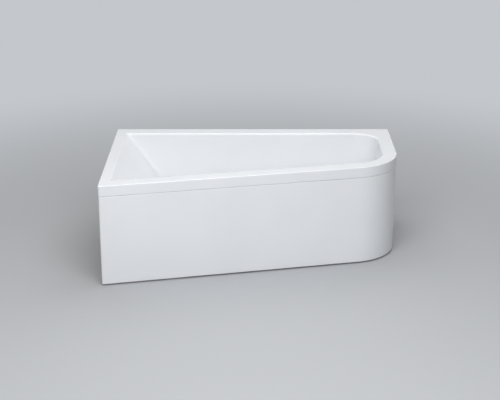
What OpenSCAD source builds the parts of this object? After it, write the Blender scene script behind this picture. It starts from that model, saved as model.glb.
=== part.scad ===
// Space-saving acrylic bath: wide at the left, narrow at the right, with a diagonal front, a round
// front-right corner, an apron panel, adjustable feet, a pop-up waste with a trap and an overflow.
// Millimetres, Z up. The origin is on the floor under the middle of the bath.

/* [Bath] */
// Length along the wall
bath_l = 1700; // [1640:10:1800]
// Width at the left end
wide_w = 1100; // [1060:10:1180]
// Width that the front line reaches at the right-hand side
narrow_w = 720; // [690:10:780]
// Height from the floor to the top of the rim
bath_h = 592; // [586:1:640]
// Radius of the front-right corner
corner_r = 300; // [260:5:330]
// Radius of the other three corners
small_corner_r = 10; // [8:1:14]
// Thickness of the reinforced shell
shell_t = 5; // [4:0.5:6]
// Height of the turned-down lip
lip_h = 61; // [52:1:70]
// Radius of the lip's top edge
lip_edge_r = 4; // [2:0.5:6]

/* [Basin] */
// Height of the basin's lowest point above the floor of the room
waste_z = 172; // [168:1:180]
// Fall of the floor towards the waste
floor_fall = 5; // [3:1:8]
// Flat of the rim along the front
front_flat = 80; // [76:1:90]
// Flat of the rim along the back
back_flat = 84; // [78:1:95]
// Flat of the rim at the foot end
foot_flat = 72; // [68:1:90]
// Flat of the rim at the head end
head_flat = 50; // [46:1:60]
// Angle of the backrest from the vertical
back_angle = 37; // [32:1:39]
// Draft of the long sides
side_draft = 6; // [4:1:8]
// Draft of the foot end
foot_draft = 9; // [6:1:14]
// Radius where the rim rolls into the long sides and the foot end
wall_roll = 12; // [8:1:16]
// Radius where the rim rolls into the backrest
head_roll = 22; // [16:1:30]
// Radius between the walls and the floor
floor_fillet = 60; // [45:5:75]
// Radius between the backrest and the floor
head_fillet = 150; // [110:10:180]
// Plan radius of the front-right corner of the basin, at the rim
foot_front_r = 218; // [180:2:230]
// Plan radius of the back-right corner of the basin, at the rim
foot_back_r = 150; // [120:2:170]
// Plan radius of the two head corners of the basin, at the rim
head_corner_r = 22; // [18:1:30]

/* [Panel] */
// Thickness of the panel
panel_t = 4; // [3:0.5:5]
// How far the panel stands back from the lip
panel_set = 1.2; // [0.8:0.2:2]
// Shadow gap between the lip and the panel
panel_gap = 1.5; // [1:0.5:4]
// Gap between the panel and the floor
panel_floor_gap = 9; // [6:1:14]
// Width of the panel's returned edges
panel_return = 22; // [18:1:25]
// Thickness of the stiffening strips on the back of the panel
stiffener_t = 12; // [8:1:15]
// Width of the stiffening strips
stiffener_w = 60; // [40:5:80]
// Width of the panel clips
clip_w = 30; // [24:1:36]
// Thickness of the clips and brackets
clip_t = 2; // [1.5:0.5:3]

/* [Support] */
// Thickness of the base board and the rim battens
board_t = 18; // [16:1:22]
// Head rail from the left edge
head_rail_at = 560; // [540:10:600]
// Middle rail from the left edge
mid_rail_at = 880; // [800:10:900]
// Foot rail from the left edge
foot_rail_at = 1330; // [1280:10:1360]
// Width of a rail
rail_w = 40; // [36:1:44]
// Height of a rail
rail_h = 25; // [22:1:30]
// Thickness of a rail's sheet
rail_t = 2.5; // [2:0.5:3]
// Distance of the feet from the front and back faces
foot_inset = 110; // [106:1:116]
// Diameter of the foot studs
stud_d = 12; // [10:1:12]
// How far the foot studs stand above their captive nuts
stud_over = 16; // [12:1:17]
// Diameter of the foot pads
pad_d = 60; // [50:2:70]
// Width of the rim battens at the front and back
batten_w = 52; // [40:1:54]
// Width of a wall hook
hook_w = 40; // [30:2:60]
// Diameter of the screw holes in the wall hooks
hook_hole_d = 8; // [6:0.5:9]

/* [Waste] */
// Waste from the left edge
waste_at = 1060; // [1040:10:1080]
// Waste from the back wall
waste_back = 430; // [410:10:440]
// Diameter of the hole in the bath floor
waste_hole_d = 52; // [51:0.5:54]
// Diameter of the waste flange
waste_flange_d = 72; // [66:1:80]
// Height of the waste body below its seal
waste_body_h = 56; // [54:1:58]
// Diameter of the plug's cap
plug_d = 50; // [47:1:51]
// Outer diameter of the outlet pipe
outlet_d = 40; // [38:0.5:42]
// Outer diameter of the trap
trap_d = 84; // [80:1:92]

/* [Overflow] */
// Centre of the overflow below the rim, along the wall
overflow_drop = 130; // [110:5:140]
// Diameter of the overflow knob
knob_d = 70; // [60:1:76]
// Outer diameter of the overflow hose over its ribs
hose_d = 36; // [34:1:36]
// Pitch of the hose's ribs
hose_pitch = 8; // [7:1:12]
// Bend radius of the hose
hose_bend_r = 85; // [80:1:90]
// Diameter of the control cable
cable_d = 6; // [5:0.5:6]

/* [Hidden] */
$fn = 64;

// Small lengths that many pieces share
over = 1;            // how far a cutter stands past the face that it opens
run_gap = 0.05;      // radial clearance of a shaft in its bearing
free_gap = 0.3;      // clearance between pieces that move past each other
thread_gap = 0.05;   // radial clearance of a screwed piece in its thread
sharp_r = 0.8;       // radius left where an inset swallows a corner
round_over = 0.01;   // a corner's circle stands this far past its edges, so that it crosses them

// Plan of the rim, anticlockwise from the front-left corner. The rounding of that sharp corner
// takes a little off the width, so the plan is moved by half of it to keep the origin in the middle.
front_slope = (wide_w - narrow_w) / bath_l;
front_a = atan(front_slope);
corner_cut = small_corner_r * (cos(front_a) / (1 - sin(front_a)) - 1);
x_l = -bath_l / 2;
x_r = bath_l / 2;
y_f = -(wide_w + corner_cut) / 2;
y_b = (wide_w - corner_cut) / 2;
function front_y(x) = y_f + front_slope * (x - x_l);
rim_corners = [[x_l, y_f], [x_r, front_y(x_r)], [x_r, y_b], [x_l, y_b]];
rim_radii = [small_corner_r, corner_r, small_corner_r, small_corner_r];

// Heights
lip_low = bath_h - lip_h;
rim_under = bath_h - shell_t;
inner_depth = bath_h - waste_z;
floor_under = waste_z - shell_t;
board_low = floor_under - board_t;
rail_web_low = board_low - rail_t;
rail_low = board_low - rail_h;
panel_top = lip_low - panel_gap;

// Outline of four corners: normals, mitres and rounded corners
function next(k) = (k + 1) % 4;
function before(k) = (k + 3) % 4;
function unit(v) = v / norm(v);
function edge_dir(p, k) = unit(p[next(k)] - p[k]);
function normal(p, k) = let (d = edge_dir(p, k)) [d[1], -d[0]];
function mitre(p, k) = let (a = normal(p, before(k)), b = normal(p, k)) (a + b) / (1 + a * b);
function inset(p, i) = [for (k = [0:3]) p[k] - i * mitre(p, k)];
function centre(p, r, k) = p[k] - r[k] * mitre(p, k);
function heading(v) = atan2(v[1], v[0]);
function turn(p, k) = let (a = heading(normal(p, k)) - heading(normal(p, before(k)))) (a + 720) % 360;
function corner_arc(p, r, k, n) = let (c = centre(p, r, k), a = heading(normal(p, before(k))))
    [for (j = [0:n]) c + r[k] * [cos(a + turn(p, k) * j / n), sin(a + turn(p, k) * j / n)]];
function outline(p, r, steps) = [for (k = [0:3]) each corner_arc(p, r, k, steps[k])];
function rim_inset_radii(i) = [for (r = rim_radii) max(r - i, sharp_r)];

module rounded_plate(p, r) {
    polygon([for (k = [0:3]) each [
        centre(p, r, k) + r[k] * normal(p, before(k)),
        centre(p, r, k) + r[k] * normal(p, k)
    ]]);
    for (k = [0:3])
        translate(centre(p, r, k)) circle(r[k] + round_over);
}

module rim_plan(i) rounded_plate(inset(rim_corners, i), rim_inset_radii(i));

// Band that follows the rim's outline, from one inset to a deeper one
module rim_band(from, to) {
    difference() {
        rim_plan(from);
        rim_plan(to);
    }
}

// Places children on edge k of the rim, s along it, with X along the edge and Y inwards
module at_edge(k, s) {
    translate(rim_corners[k] + s * edge_dir(rim_corners, k))
        rotate(heading(edge_dir(rim_corners, k))) children();
}

// Inset of a basin wall at the drop d: a roll at the rim, a drafted wall and a fillet to the floor
function roll_drop(r, a) = r * (1 - sin(a));
function floor_inset(a, roll, fillet, depth) = (roll + fillet) * cos(a)
    + (depth - roll_drop(roll, a) - roll_drop(fillet, a)) * tan(a);
function wall_inset(d, a, roll, fillet, depth) =
    d < roll_drop(roll, a) ? sqrt(max(0, roll ^ 2 - (roll - d) ^ 2)) :
    d < depth - roll_drop(fillet, a) ? roll * cos(a) + (d - roll_drop(roll, a)) * tan(a) :
    floor_inset(a, roll, fillet, depth) - sqrt(max(0, fillet ^ 2 - (fillet - depth + d) ^ 2));

// The basin's four plan corners and their radii at the drop d, for a surface t outside the inner one
function basin_corners(d, depth, t) = let (
        head = wall_inset(d, back_angle, head_roll - t, head_fillet + t, depth),
        side = wall_inset(d, side_draft, wall_roll - t, floor_fillet + t, depth),
        foot = wall_inset(d, foot_draft, wall_roll - t, floor_fillet + t, depth),
        lift = (front_flat + side) / cos(front_a),
        x_head = x_l + head_flat + head,
        x_foot = x_r - foot_flat - foot,
        y_back = y_b - back_flat - side)
    [[x_head, front_y(x_head) + lift], [x_foot, front_y(x_foot) + lift],
     [x_foot, y_back], [x_head, y_back]];
head_floor_r = 30;
foot_front_floor_r = 165;
foot_back_floor_r = 130;
function basin_radii(d, depth, t) = let (f = (d / depth) ^ 2)
    [head_corner_r + t + f * (head_floor_r - head_corner_r),
     foot_front_r + t + f * (foot_front_floor_r - foot_front_r),
     foot_back_r + t + f * (foot_back_floor_r - foot_back_r),
     head_corner_r + t + f * (head_floor_r - head_corner_r)];

// Drops at which the basin is sectioned: close together in the roll and the fillet
basin_steps = [5, 12, 9, 5];
function drops(depth) = let (
        high = max(roll_drop(head_roll, back_angle), roll_drop(wall_roll, side_draft)),
        low = max(roll_drop(head_fillet, back_angle), roll_drop(floor_fillet, side_draft)))
    concat([for (a = [0:15:90]) high * (1 - cos(a))],
           [for (k = [1:3]) high + (depth - high - low) * k / 4],
           [for (a = [0:15:90]) depth - low * (1 - sin(a))]);
function ring(d, z, depth, t) = [for (p = outline(basin_corners(d, depth, t),
    basin_radii(d, depth, t), basin_steps)) [p[0], p[1], z]];

// Closed skin over rings of equal length, listed from the top, with a fan to a lowest point
module loft(rings, lowest) {
    n = len(rings[0]);
    m = len(rings);
    polyhedron(
        points = concat([for (r = rings) each r], [lowest]),
        faces = concat(
            [[for (j = [n - 1:-1:0]) j]],
            [for (i = [0:m - 2]) for (j = [0:n - 1]) each
                let (a = i * n + j, b = i * n + (j + 1) % n) [[a, b, b + n], [a, b + n, a + n]]],
            [for (j = [0:n - 1]) [(m - 1) * n + j, (m - 1) * n + (j + 1) % n, m * n]]));
}

// Waste and overflow positions
waste_x = x_l + waste_at;
waste_y = y_b - waste_back;
waste_to_front = (waste_y - front_y(waste_x)) * cos(front_a);
overflow_out = waste_to_front - front_flat - wall_inset(overflow_drop, side_draft, wall_roll,
    floor_fillet, inner_depth - floor_fall);

// X along the front, Y square away from it, with the waste's axis as Z
module at_waste() translate([waste_x, waste_y, 0]) rotate(front_a) children();

// Z square out of the front wall's inner face into the basin, Y down along the wall
module at_overflow() at_waste() translate([0, -overflow_out, bath_h - overflow_drop])
    rotate([side_draft - 90, 0, 0]) children();

function screw_af(d) = d * 19 / 12;
module hexagon(af, h) cylinder(d = af / cos(30), h = h, $fn = 6);
module ring_solid(outer, inner, h) {
    difference() {
        cylinder(d = outer, h = h);
        translate([0, 0, -over]) cylinder(d = inner, h = h + 2 * over);
    }
}

// Shell: the rim with its turned-down lip, and the basin
rim_steps = [4, 24, 4, 4];
function rim_ring(i, z) = [for (p = outline(inset(rim_corners, i), rim_inset_radii(i), rim_steps))
    [p[0], p[1], z]];
waste_recess = 2;
recess_gap = 1;
overflow_hole_d = 54;
module bath_shell() color("white") difference() {
    union() {
        difference() {
            loft(concat([for (a = [0:30:90])
                    rim_ring(lip_edge_r * (1 - sin(a)), bath_h - lip_edge_r * (1 - cos(a)))],
                [rim_ring(0, lip_low)]), [0, 0, lip_low]);
            translate([0, 0, lip_low - over]) linear_extrude(lip_h - shell_t + over) rim_plan(shell_t);
        }
        loft(concat([ring(0, bath_h - shell_t / 2, inner_depth, shell_t)],
                [for (d = drops(inner_depth)) ring(d, rim_under - d, inner_depth, shell_t)]),
            [waste_x, waste_y, floor_under]);
    }
    loft(concat([ring(0, bath_h + over, inner_depth - floor_fall, 0)],
            [for (d = drops(inner_depth - floor_fall)) ring(d, bath_h - d, inner_depth - floor_fall, 0)]),
        [waste_x, waste_y, waste_z]);
    translate([waste_x, waste_y, floor_under - over]) cylinder(d = waste_hole_d, h = 3 * shell_t);
    translate([waste_x, waste_y, waste_z - waste_recess])
        cylinder(d = waste_flange_d + 2 * recess_gap, h = floor_fall + 2 * waste_recess);
    at_overflow() translate([0, 0, -2 * shell_t]) cylinder(d = overflow_hole_d, h = 3 * shell_t);
}

// Base board, glued under the floor
board_margin = 12;
board_corner_r = 60;
board_hole_d = 130;
module base_board() color("burlywood") translate([0, 0, board_low]) difference() {
    linear_extrude(board_t) rounded_plate(
        inset(basin_corners(inner_depth, inner_depth, shell_t), board_margin),
        [for (k = [0:3]) board_corner_r]);
    translate([waste_x, waste_y, -over]) cylinder(d = board_hole_d, h = board_t + 2 * over);
    translate([0, 0, -over]) each_rail_screw() cylinder(d = rail_screw_d + 2 * thread_gap,
        h = rail_screw_l - rail_t + over);
}

// Rim battens, bonded under the rim
batten_in = 12;
batten_end = 70;
batten_chamfer = 4;
clip_screw_d = 4;
clip_screw_l = 14;
clip_screw_in = 42;
module batten(w, length) translate([0, batten_in, rim_under - board_t]) difference() {
    cube([length, w, board_t]);
    translate([-over, w, -over]) rotate([45, 0, 0])
        cube([length + 2 * over, batten_chamfer, batten_chamfer]);
}
front_straight = norm(rim_corners[1] - rim_corners[0]) - corner_r * tan(turn(rim_corners, 1) / 2);
foot_straight = (y_b - front_y(x_r)) - corner_r * tan(turn(rim_corners, 1) / 2);
module clip_pilot() translate([0, 0, rim_under - board_t - over])
    cylinder(d = clip_screw_d + 2 * thread_gap, h = clip_screw_l - clip_t + over);

module rim_batten_back() color("tan") at_edge(2, batten_end) batten(batten_w, bath_l - 2 * batten_end);
module rim_batten_head() color("tan") at_edge(3, batten_end)
    batten(head_flat - batten_in - shell_t, wide_w - 2 * batten_end);
module rim_batten_front() color("tan") difference() {
    at_edge(0, batten_end) batten(batten_w, front_straight - batten_end);
    for (s = front_clips)
        at_edge(0, s) translate([0, clip_screw_in, 0]) clip_pilot();
}
module rim_batten_foot() color("tan") difference() {
    at_edge(1, y_b - front_y(x_r) - foot_straight)
        batten(batten_w - wall_roll, foot_straight - batten_end);
    at_edge(1, foot_clip) translate([0, clip_screw_in, 0]) clip_pilot();
}

// Leg rails: folded channels, open below, with a stud hole near each end
rails = [x_l + head_rail_at, x_l + mid_rail_at, x_l + foot_rail_at];
rail_over = 32;
rail_screw_d = 4.5;
rail_screw_l = 16;
rail_screw_side = 9;
rail_screw_at = [0.25, 0.72];
function foot_front_y(x) = front_y(x) + foot_inset / cos(front_a);
foot_back_y = y_b - foot_inset;
feet = [for (x = rails) each [[x, foot_front_y(x)], [x, foot_back_y]]];

module each_rail_screw() {
    for (x = rails, s = [-1, 1], f = rail_screw_at)
        translate([x + s * rail_screw_side, foot_front_y(x) + f * (foot_back_y - foot_front_y(x)), 0])
            children();
}

module channel(w, h, t, length) {
    difference() {
        cube([w, length, h]);
        translate([t, -over, -over]) cube([w - 2 * t, length + 2 * over, h - t + over]);
        for (s = [0, 1])
            translate([s * w, -over, h]) rotate([-90, 0, 0]) difference() {
                translate([-t, -t, 0]) cube([2 * t, 2 * t, length + 2 * over]);
                translate([t - 2 * t * s, t, -over]) cylinder(r = t, h = length + 4 * over);
            }
    }
}

module leg_rail(x) {
    start = foot_front_y(x) - rail_over;
    length = foot_back_y + rail_over - start;
    color("silver") difference() {
        translate([x - rail_w / 2, start, rail_low]) channel(rail_w, rail_h, rail_t, length);
        for (y = [foot_front_y(x), foot_back_y])
            translate([x, y, rail_low]) cylinder(d = stud_d + 2 * free_gap, h = rail_h + over);
        translate([0, 0, rail_low]) each_rail_screw()
            cylinder(d = rail_screw_d + 2 * thread_gap, h = rail_h + over);
        at_bracket(x) translate([0, bracket_screw_in, rail_low])
            cylinder(d = bracket_screw_d + 2 * thread_gap, h = rail_h + over);
    }
}
module leg_rail_head() leg_rail(rails[0]);
module leg_rail_middle() leg_rail(rails[1]);
module leg_rail_foot() leg_rail(rails[2]);

rail_screw_head_d = 9;
rail_screw_head_h = 2.6;
head_taper = 0.72;
module pan_screw(d, length, head_d, head_h) {
    slot_w = head_d / 6;
    slot_l = head_d * 2 / 3;
    cylinder(d = d, h = length);
    translate([0, 0, -head_h]) difference() {
        cylinder(d1 = head_d * head_taper, d2 = head_d, h = head_h);
        translate([-slot_w / 2, -slot_l / 2, -over]) cube([slot_w, slot_l, over + head_h / 2]);
        translate([-slot_l / 2, -slot_w / 2, -over]) cube([slot_l, slot_w, over + head_h / 2]);
    }
}
module rail_screws() color("gainsboro") translate([0, 0, rail_web_low]) each_rail_screw()
    pan_screw(rail_screw_d, rail_screw_l, rail_screw_head_d, rail_screw_head_h);

// Feet: a pad, and a stud that turns in it and screws through the rail
captive_nut_h = 10;
lock_nut_h = 7;
module nut(h) difference() {
    hexagon(screw_af(stud_d), h);
    translate([0, 0, -over]) cylinder(d = stud_d + 2 * run_gap, h = h + 2 * over);
}
module captive_nuts() color("silver") for (p = feet)
    translate([p[0], p[1], board_low]) nut(captive_nut_h);
module lock_nuts() color("silver") for (p = feet)
    translate([p[0], p[1], rail_web_low - lock_nut_h]) nut(lock_nut_h);

pad_base_h = 8;
pad_h = 36;
pad_hub_d = 24;
pad_floor = 10;
pad_rib_t = 3;
pad_rib_low = 8;
pad_edge = 2;
module foot_pad(k) color("dimgray") translate([feet[k][0], feet[k][1], 0]) difference() {
    union() {
        rotate_extrude() polygon([[0, 0], [pad_d / 2 - pad_edge, 0], [pad_d / 2, pad_edge],
            [pad_d / 2, pad_base_h - pad_edge], [pad_d / 2 - pad_edge, pad_base_h],
            [pad_hub_d / 2 + pad_edge, pad_floor], [pad_hub_d / 2, pad_h - pad_edge],
            [pad_hub_d / 2 - pad_edge, pad_h], [0, pad_h]]);
        for (a = [0:60:300]) rotate(a) rotate([90, 0, 0]) translate([0, 0, -pad_rib_t / 2])
            linear_extrude(pad_rib_t) polygon([[pad_hub_d / 2 - pad_edge, pad_base_h - pad_edge],
                [pad_d / 2 - pad_rib_t, pad_base_h - pad_edge], [pad_hub_d / 2, pad_h - pad_rib_low],
                [pad_hub_d / 2 - pad_edge, pad_h - pad_rib_low]]);
    }
    translate([0, 0, pad_floor]) cylinder(d = stud_d + 2 * run_gap, h = pad_h);
}
module foot_pad_1() foot_pad(0);
module foot_pad_2() foot_pad(1);
module foot_pad_3() foot_pad(2);
module foot_pad_4() foot_pad(3);
module foot_pad_5() foot_pad(4);
module foot_pad_6() foot_pad(5);

stud_l = board_low + captive_nut_h + stud_over - pad_floor;
stud_collar_h = 8;
stud_key_af = 6;
stud_tip = 1.5;
module foot_stud(k) color("silver") translate([feet[k][0], feet[k][1], pad_floor + free_gap])
    difference() {
        union() {
            cylinder(d = stud_d, h = stud_l - stud_tip);
            translate([0, 0, stud_l - stud_tip])
                cylinder(d1 = stud_d, d2 = stud_d - 2 * stud_tip, h = stud_tip);
            translate([0, 0, pad_h - pad_floor]) intersection() {
                hexagon(screw_af(stud_d), stud_collar_h);
                cylinder(d1 = screw_af(stud_d), d2 = screw_af(stud_d) + 2 * stud_collar_h,
                    h = stud_collar_h);
            }
        }
        translate([0, 0, stud_l - stud_key_af]) hexagon(stud_key_af, stud_key_af + over);
    }
module foot_stud_1() foot_stud(0);
module foot_stud_2() foot_stud(1);
module foot_stud_3() foot_stud(2);
module foot_stud_4() foot_stud(3);
module foot_stud_5() foot_stud(4);
module foot_stud_6() foot_stud(5);

// Apron panel: the front, the round corner and the foot end, with every edge returned inwards
module panel_band(to) {
    difference() {
        rim_band(panel_set, panel_set + to);
        translate([x_l - over, y_f + panel_set + panel_return])
            square([panel_return * 2, wide_w]);
        translate([x_l - over, y_b - 2 * panel_return])
            square([bath_l - panel_set - panel_return + over, 3 * panel_return]);
    }
}
module apron_panel() color("white") difference() {
    translate([0, 0, panel_floor_gap]) union() {
        linear_extrude(panel_top - panel_floor_gap) panel_band(panel_t);
        linear_extrude(panel_t) panel_band(panel_return);
        translate([0, 0, panel_top - panel_floor_gap - panel_t])
            linear_extrude(panel_t) panel_band(panel_return);
    }
    each_clip() translate([0, clip_tab_in, panel_top - 2 * panel_t])
        cylinder(d = clip_screw_d + 2 * thread_gap, h = 3 * panel_t);
    for (x = rails)
        at_bracket(x) translate([0, clip_tab_in, 0])
            cylinder(d = clip_screw_d + 2 * thread_gap, h = panel_floor_gap + 2 * panel_t);
}

// Stiffening strips, glued to the back of the panel
stiffener_end = 40;
stiffener_at = [0.2, 0.47, 0.72];
glue_line = 0.05;
stiffener_y = panel_set + panel_t + glue_line;
module stiffener() translate([-stiffener_w / 2, stiffener_y, panel_floor_gap + stiffener_end])
    cube([stiffener_w, stiffener_t, panel_top - panel_floor_gap - 2 * stiffener_end]);
module panel_stiffeners() color("burlywood") {
    for (f = stiffener_at)
        at_edge(0, f * front_straight) stiffener();
    at_edge(1, foot_clip + 2 * clip_w) stiffener();
}

// Clips under the rim battens that hold the panel's upper return from below
front_clips = [for (f = [0.1, 0.34, 0.6, 0.92]) f * front_straight];
foot_clip = y_b - front_y(x_r) - foot_straight * 0.6;
clip_tab_in = panel_set + panel_return * 0.6;
clip_tab_w = 14;
clip_leg_in = panel_set + panel_return + 0.8;
clip_top_w = 30;
clip_tab_start = clip_tab_in - clip_tab_w / 2;
clip_screw_over = 2;
module each_clip() {
    for (s = front_clips)
        at_edge(0, s) children();
    at_edge(1, foot_clip) children();
}
clip_low = panel_top - panel_t - clip_t;
clip_high = rim_under - board_t;
module panel_clip() difference() {
    translate([-clip_w / 2, 0, 0]) union() {
        translate([0, clip_leg_in, clip_high - clip_t]) cube([clip_w, clip_top_w, clip_t]);
        translate([0, clip_leg_in, clip_low]) cube([clip_w, clip_t, clip_high - clip_low]);
        translate([0, clip_tab_start, clip_low])
            cube([clip_w, clip_leg_in - clip_tab_start + clip_t, clip_t]);
    }
    translate([0, clip_screw_in, clip_high - 2 * clip_t])
        cylinder(d = clip_screw_d + 2 * thread_gap, h = 3 * clip_t);
    translate([0, clip_tab_in, clip_low - clip_t])
        cylinder(d = clip_screw_d + 2 * thread_gap, h = 3 * clip_t);
}
module panel_clips() color("silver") each_clip() panel_clip();
clip_head_d = 8;
clip_head_h = 2.4;
module panel_clip_screws() color("gainsboro") each_clip() {
    translate([0, clip_screw_in, clip_high - clip_t])
        pan_screw(clip_screw_d, clip_screw_l, clip_head_d, clip_head_h);
    translate([0, clip_tab_in, clip_low])
        pan_screw(clip_screw_d, clip_t + panel_t + clip_screw_over, clip_head_d, clip_head_h);
}

// Brackets from the front ends of the rails down to the panel's lower return
bracket_leg_in = panel_set + panel_return + 6;
bracket_screw_in = foot_inset - rail_over + 10;
bracket_screw_d = 5;
bracket_screw_l = 10.5;
bracket_tab_end = 8;
module at_bracket(x) at_edge(0, (x + bracket_screw_in * sin(front_a) - x_l) / cos(front_a)) children();
bracket_low = panel_floor_gap + panel_t;
module panel_bracket() difference() {
    translate([-clip_w / 2, 0, 0]) union() {
        translate([0, clip_tab_start, bracket_low])
            cube([clip_w, bracket_leg_in - clip_tab_start + clip_t, clip_t]);
        translate([0, bracket_leg_in, bracket_low])
            cube([clip_w, clip_t, board_low + clip_t - bracket_low]);
        translate([0, bracket_leg_in, board_low])
            cube([clip_w, bracket_screw_in + bracket_tab_end - bracket_leg_in, clip_t]);
    }
    translate([0, clip_tab_in, 0])
        cylinder(d = clip_screw_d + 2 * thread_gap, h = bracket_low + 2 * clip_t);
    translate([0, bracket_screw_in, board_low - over])
        cylinder(d = bracket_screw_d + 2 * thread_gap, h = clip_t + 2 * over);
}
module panel_brackets() color("silver") for (x = rails) at_bracket(x) panel_bracket();
bracket_head_d = 9;
bracket_head_h = 2.6;
module panel_bracket_screws() color("gainsboro") for (x = rails) at_bracket(x) {
    translate([0, clip_tab_in, bracket_low + clip_t]) mirror([0, 0, 1])
        pan_screw(clip_screw_d, clip_t + panel_t + clip_screw_over, clip_head_d, clip_head_h);
    translate([0, bracket_screw_in, board_low + clip_t]) mirror([0, 0, 1])
        pan_screw(bracket_screw_d, bracket_screw_l, bracket_head_d, bracket_head_h);
}

// Wall hooks: folded strips, screwed to the wall, that carry the back lip
hook_t = 3;
hook_plate_h = 76;
hook_up = 30;
hook_hole_z = [22, 50];
hook_edge = [for (f = [0.15, 0.5, 0.85]) f * bath_l];
module wall_hook() difference() {
    translate([-hook_w / 2, 0, lip_low]) union() {
        translate([0, 0, -hook_plate_h]) cube([hook_w, hook_t, hook_plate_h]);
        translate([0, 0, -hook_t]) cube([hook_w, shell_t + free_gap + hook_t, hook_t]);
        translate([0, shell_t + free_gap, -hook_t]) cube([hook_w, hook_t, hook_up + hook_t]);
    }
    for (z = hook_hole_z)
        translate([0, -over, lip_low - hook_plate_h + z]) rotate([-90, 0, 0])
            cylinder(d = hook_hole_d, h = hook_t + 2 * over);
}
module wall_hooks() color("silver") for (s = hook_edge) at_edge(2, s) wall_hook();

// Waste: a flange in the floor screws into a body below it, with the plug's stem in its guide
seal_t = 3;
tube_t = 4;
tube_d = waste_hole_d - 2;
body_top = floor_under - seal_t;
body_low = body_top - waste_body_h;
body_t = 5;
body_d = tube_d + 2 * body_t;
body_flange_d = waste_flange_d + 8;
waste_tube_h = 26;
seat_h = 6;
seat_low_r = tube_d / 2 - tube_t;
seat_high_r = plug_d / 2 + 1.5;
stem_d = 8;
hub_d = 16;
hub_h = 10;
arm_t = 3;
inlet_z = body_low + 21;
spigot_d = 30;
spigot_bore = 25;
spigot_end = 62;
collar_d = 46;
collar_bore = 38;
collar_h = 14;
module waste_flange() color("lightsteelblue") at_waste() translate([0, 0, waste_z - waste_recess])
    difference() {
        union() {
            cylinder(d = waste_flange_d - 2, h = waste_recess);
            cylinder(d = waste_flange_d, h = waste_recess / 2);
            translate([0, 0, -waste_tube_h]) cylinder(d = tube_d, h = waste_tube_h);
        }
        translate([0, 0, -waste_tube_h - over]) cylinder(r = seat_low_r, h = waste_tube_h);
        translate([0, 0, waste_recess - seat_h]) cylinder(r1 = seat_low_r, r2 = seat_high_r, h = seat_h);
    }
module waste_seal() color("black") translate([waste_x, waste_y, body_top])
    ring_solid(body_flange_d - 2, waste_hole_d + 1, seal_t);

// Bell crank under the plug's stem, on a pin between two lugs of the waste body: the cable pulls
// its upper arm towards the gland and its long arm lifts the stem
lever_l = 17;
lever_z = body_low + 10;
lever_w = 8;
lever_tip_r = 3;
lever_boss_r = 4;
lever_root = 2;
crank_l = 16;
crank_lean = 15;
crank_r = 2.5;
crank_eye_d = 2;
plug_lift = 9;
pin_d = 3;
lug_t = 4;
lug_up = 4;
stem_low = lever_z + lever_tip_r + free_gap;
guide_z = stem_low + plug_lift + 0.7;
gland_z = lever_z + crank_l * cos(crank_lean);
gland_d = 16;
gland_end = 40;
body_rib_t = 3;
body_rib_h = 12;
module spider(z, outer) translate([0, 0, z]) {
    cylinder(d = hub_d, h = hub_h);
    for (a = [60:120:300])
        rotate(a) translate([0, -arm_t / 2, 0]) cube([outer / 2, arm_t, hub_h]);
}
module lever_lug(side) translate([lever_l - lever_tip_r, side, body_low + body_t - over])
    cube([body_d / 2, lug_t, lever_z - body_low - body_t + lug_up + over]);
module waste_body() color("whitesmoke") at_waste() difference() {
    union() {
        difference() {
            union() {
                translate([0, 0, body_top - body_t]) cylinder(d = body_flange_d, h = body_t);
                translate([0, 0, body_low]) cylinder(d = body_d, h = waste_body_h);
                translate([0, 0, inlet_z]) rotate([90, 0, 0]) cylinder(d = spigot_d, h = spigot_end);
                translate([0, 0, gland_z]) rotate([0, 90, 0]) cylinder(d = gland_d, h = gland_end);
                for (a = [22.5:45:337.5])
                    rotate(a)
                        translate([body_d / 2 - over, -body_rib_t / 2, body_top - body_t - body_rib_h])
                            cube([(body_flange_d - body_d) / 2 - over, body_rib_t, body_rib_h]);
            }
            translate([0, 0, body_low + body_t]) cylinder(d = tube_d + 2 * thread_gap, h = waste_body_h);
        }
        translate([0, 0, body_low - collar_h]) cylinder(d = collar_d, h = collar_h + over);
        intersection() {
            spider(guide_z, body_d - body_t);
            cylinder(d = body_d, h = body_top);
        }
        intersection() {
            union() {
                lever_lug(lever_w / 2 + free_gap);
                lever_lug(-lever_w / 2 - free_gap - lug_t);
            }
            cylinder(d = body_d - 2, h = body_top);
        }
    }
    translate([0, 0, body_low - collar_h - over])
        cylinder(d = collar_bore, h = collar_h + body_t + 2 * over);
    translate([0, 0, guide_z - over]) cylinder(d = stem_d + 2 * run_gap, h = hub_h + 2 * over);
    translate([0, body_t - tube_d / 2, inlet_z]) rotate([90, 0, 0])
        cylinder(d = spigot_bore, h = spigot_end);
    translate([tube_d / 2 - lug_t, 0, gland_z]) rotate([0, 90, 0])
        cylinder(d = cable_d + 2 * free_gap, h = gland_end);
    translate([lever_l, lever_w / 2 + 2 * lug_t, lever_z]) rotate([90, 0, 0])
        cylinder(d = pin_d, h = lever_w + 4 * lug_t);
}
module lever_pin() color("silver") at_waste()
    translate([lever_l, lever_w / 2 + free_gap + lug_t, lever_z]) rotate([90, 0, 0])
        cylinder(d = pin_d, h = lever_w + 2 * free_gap + 2 * lug_t);
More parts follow.
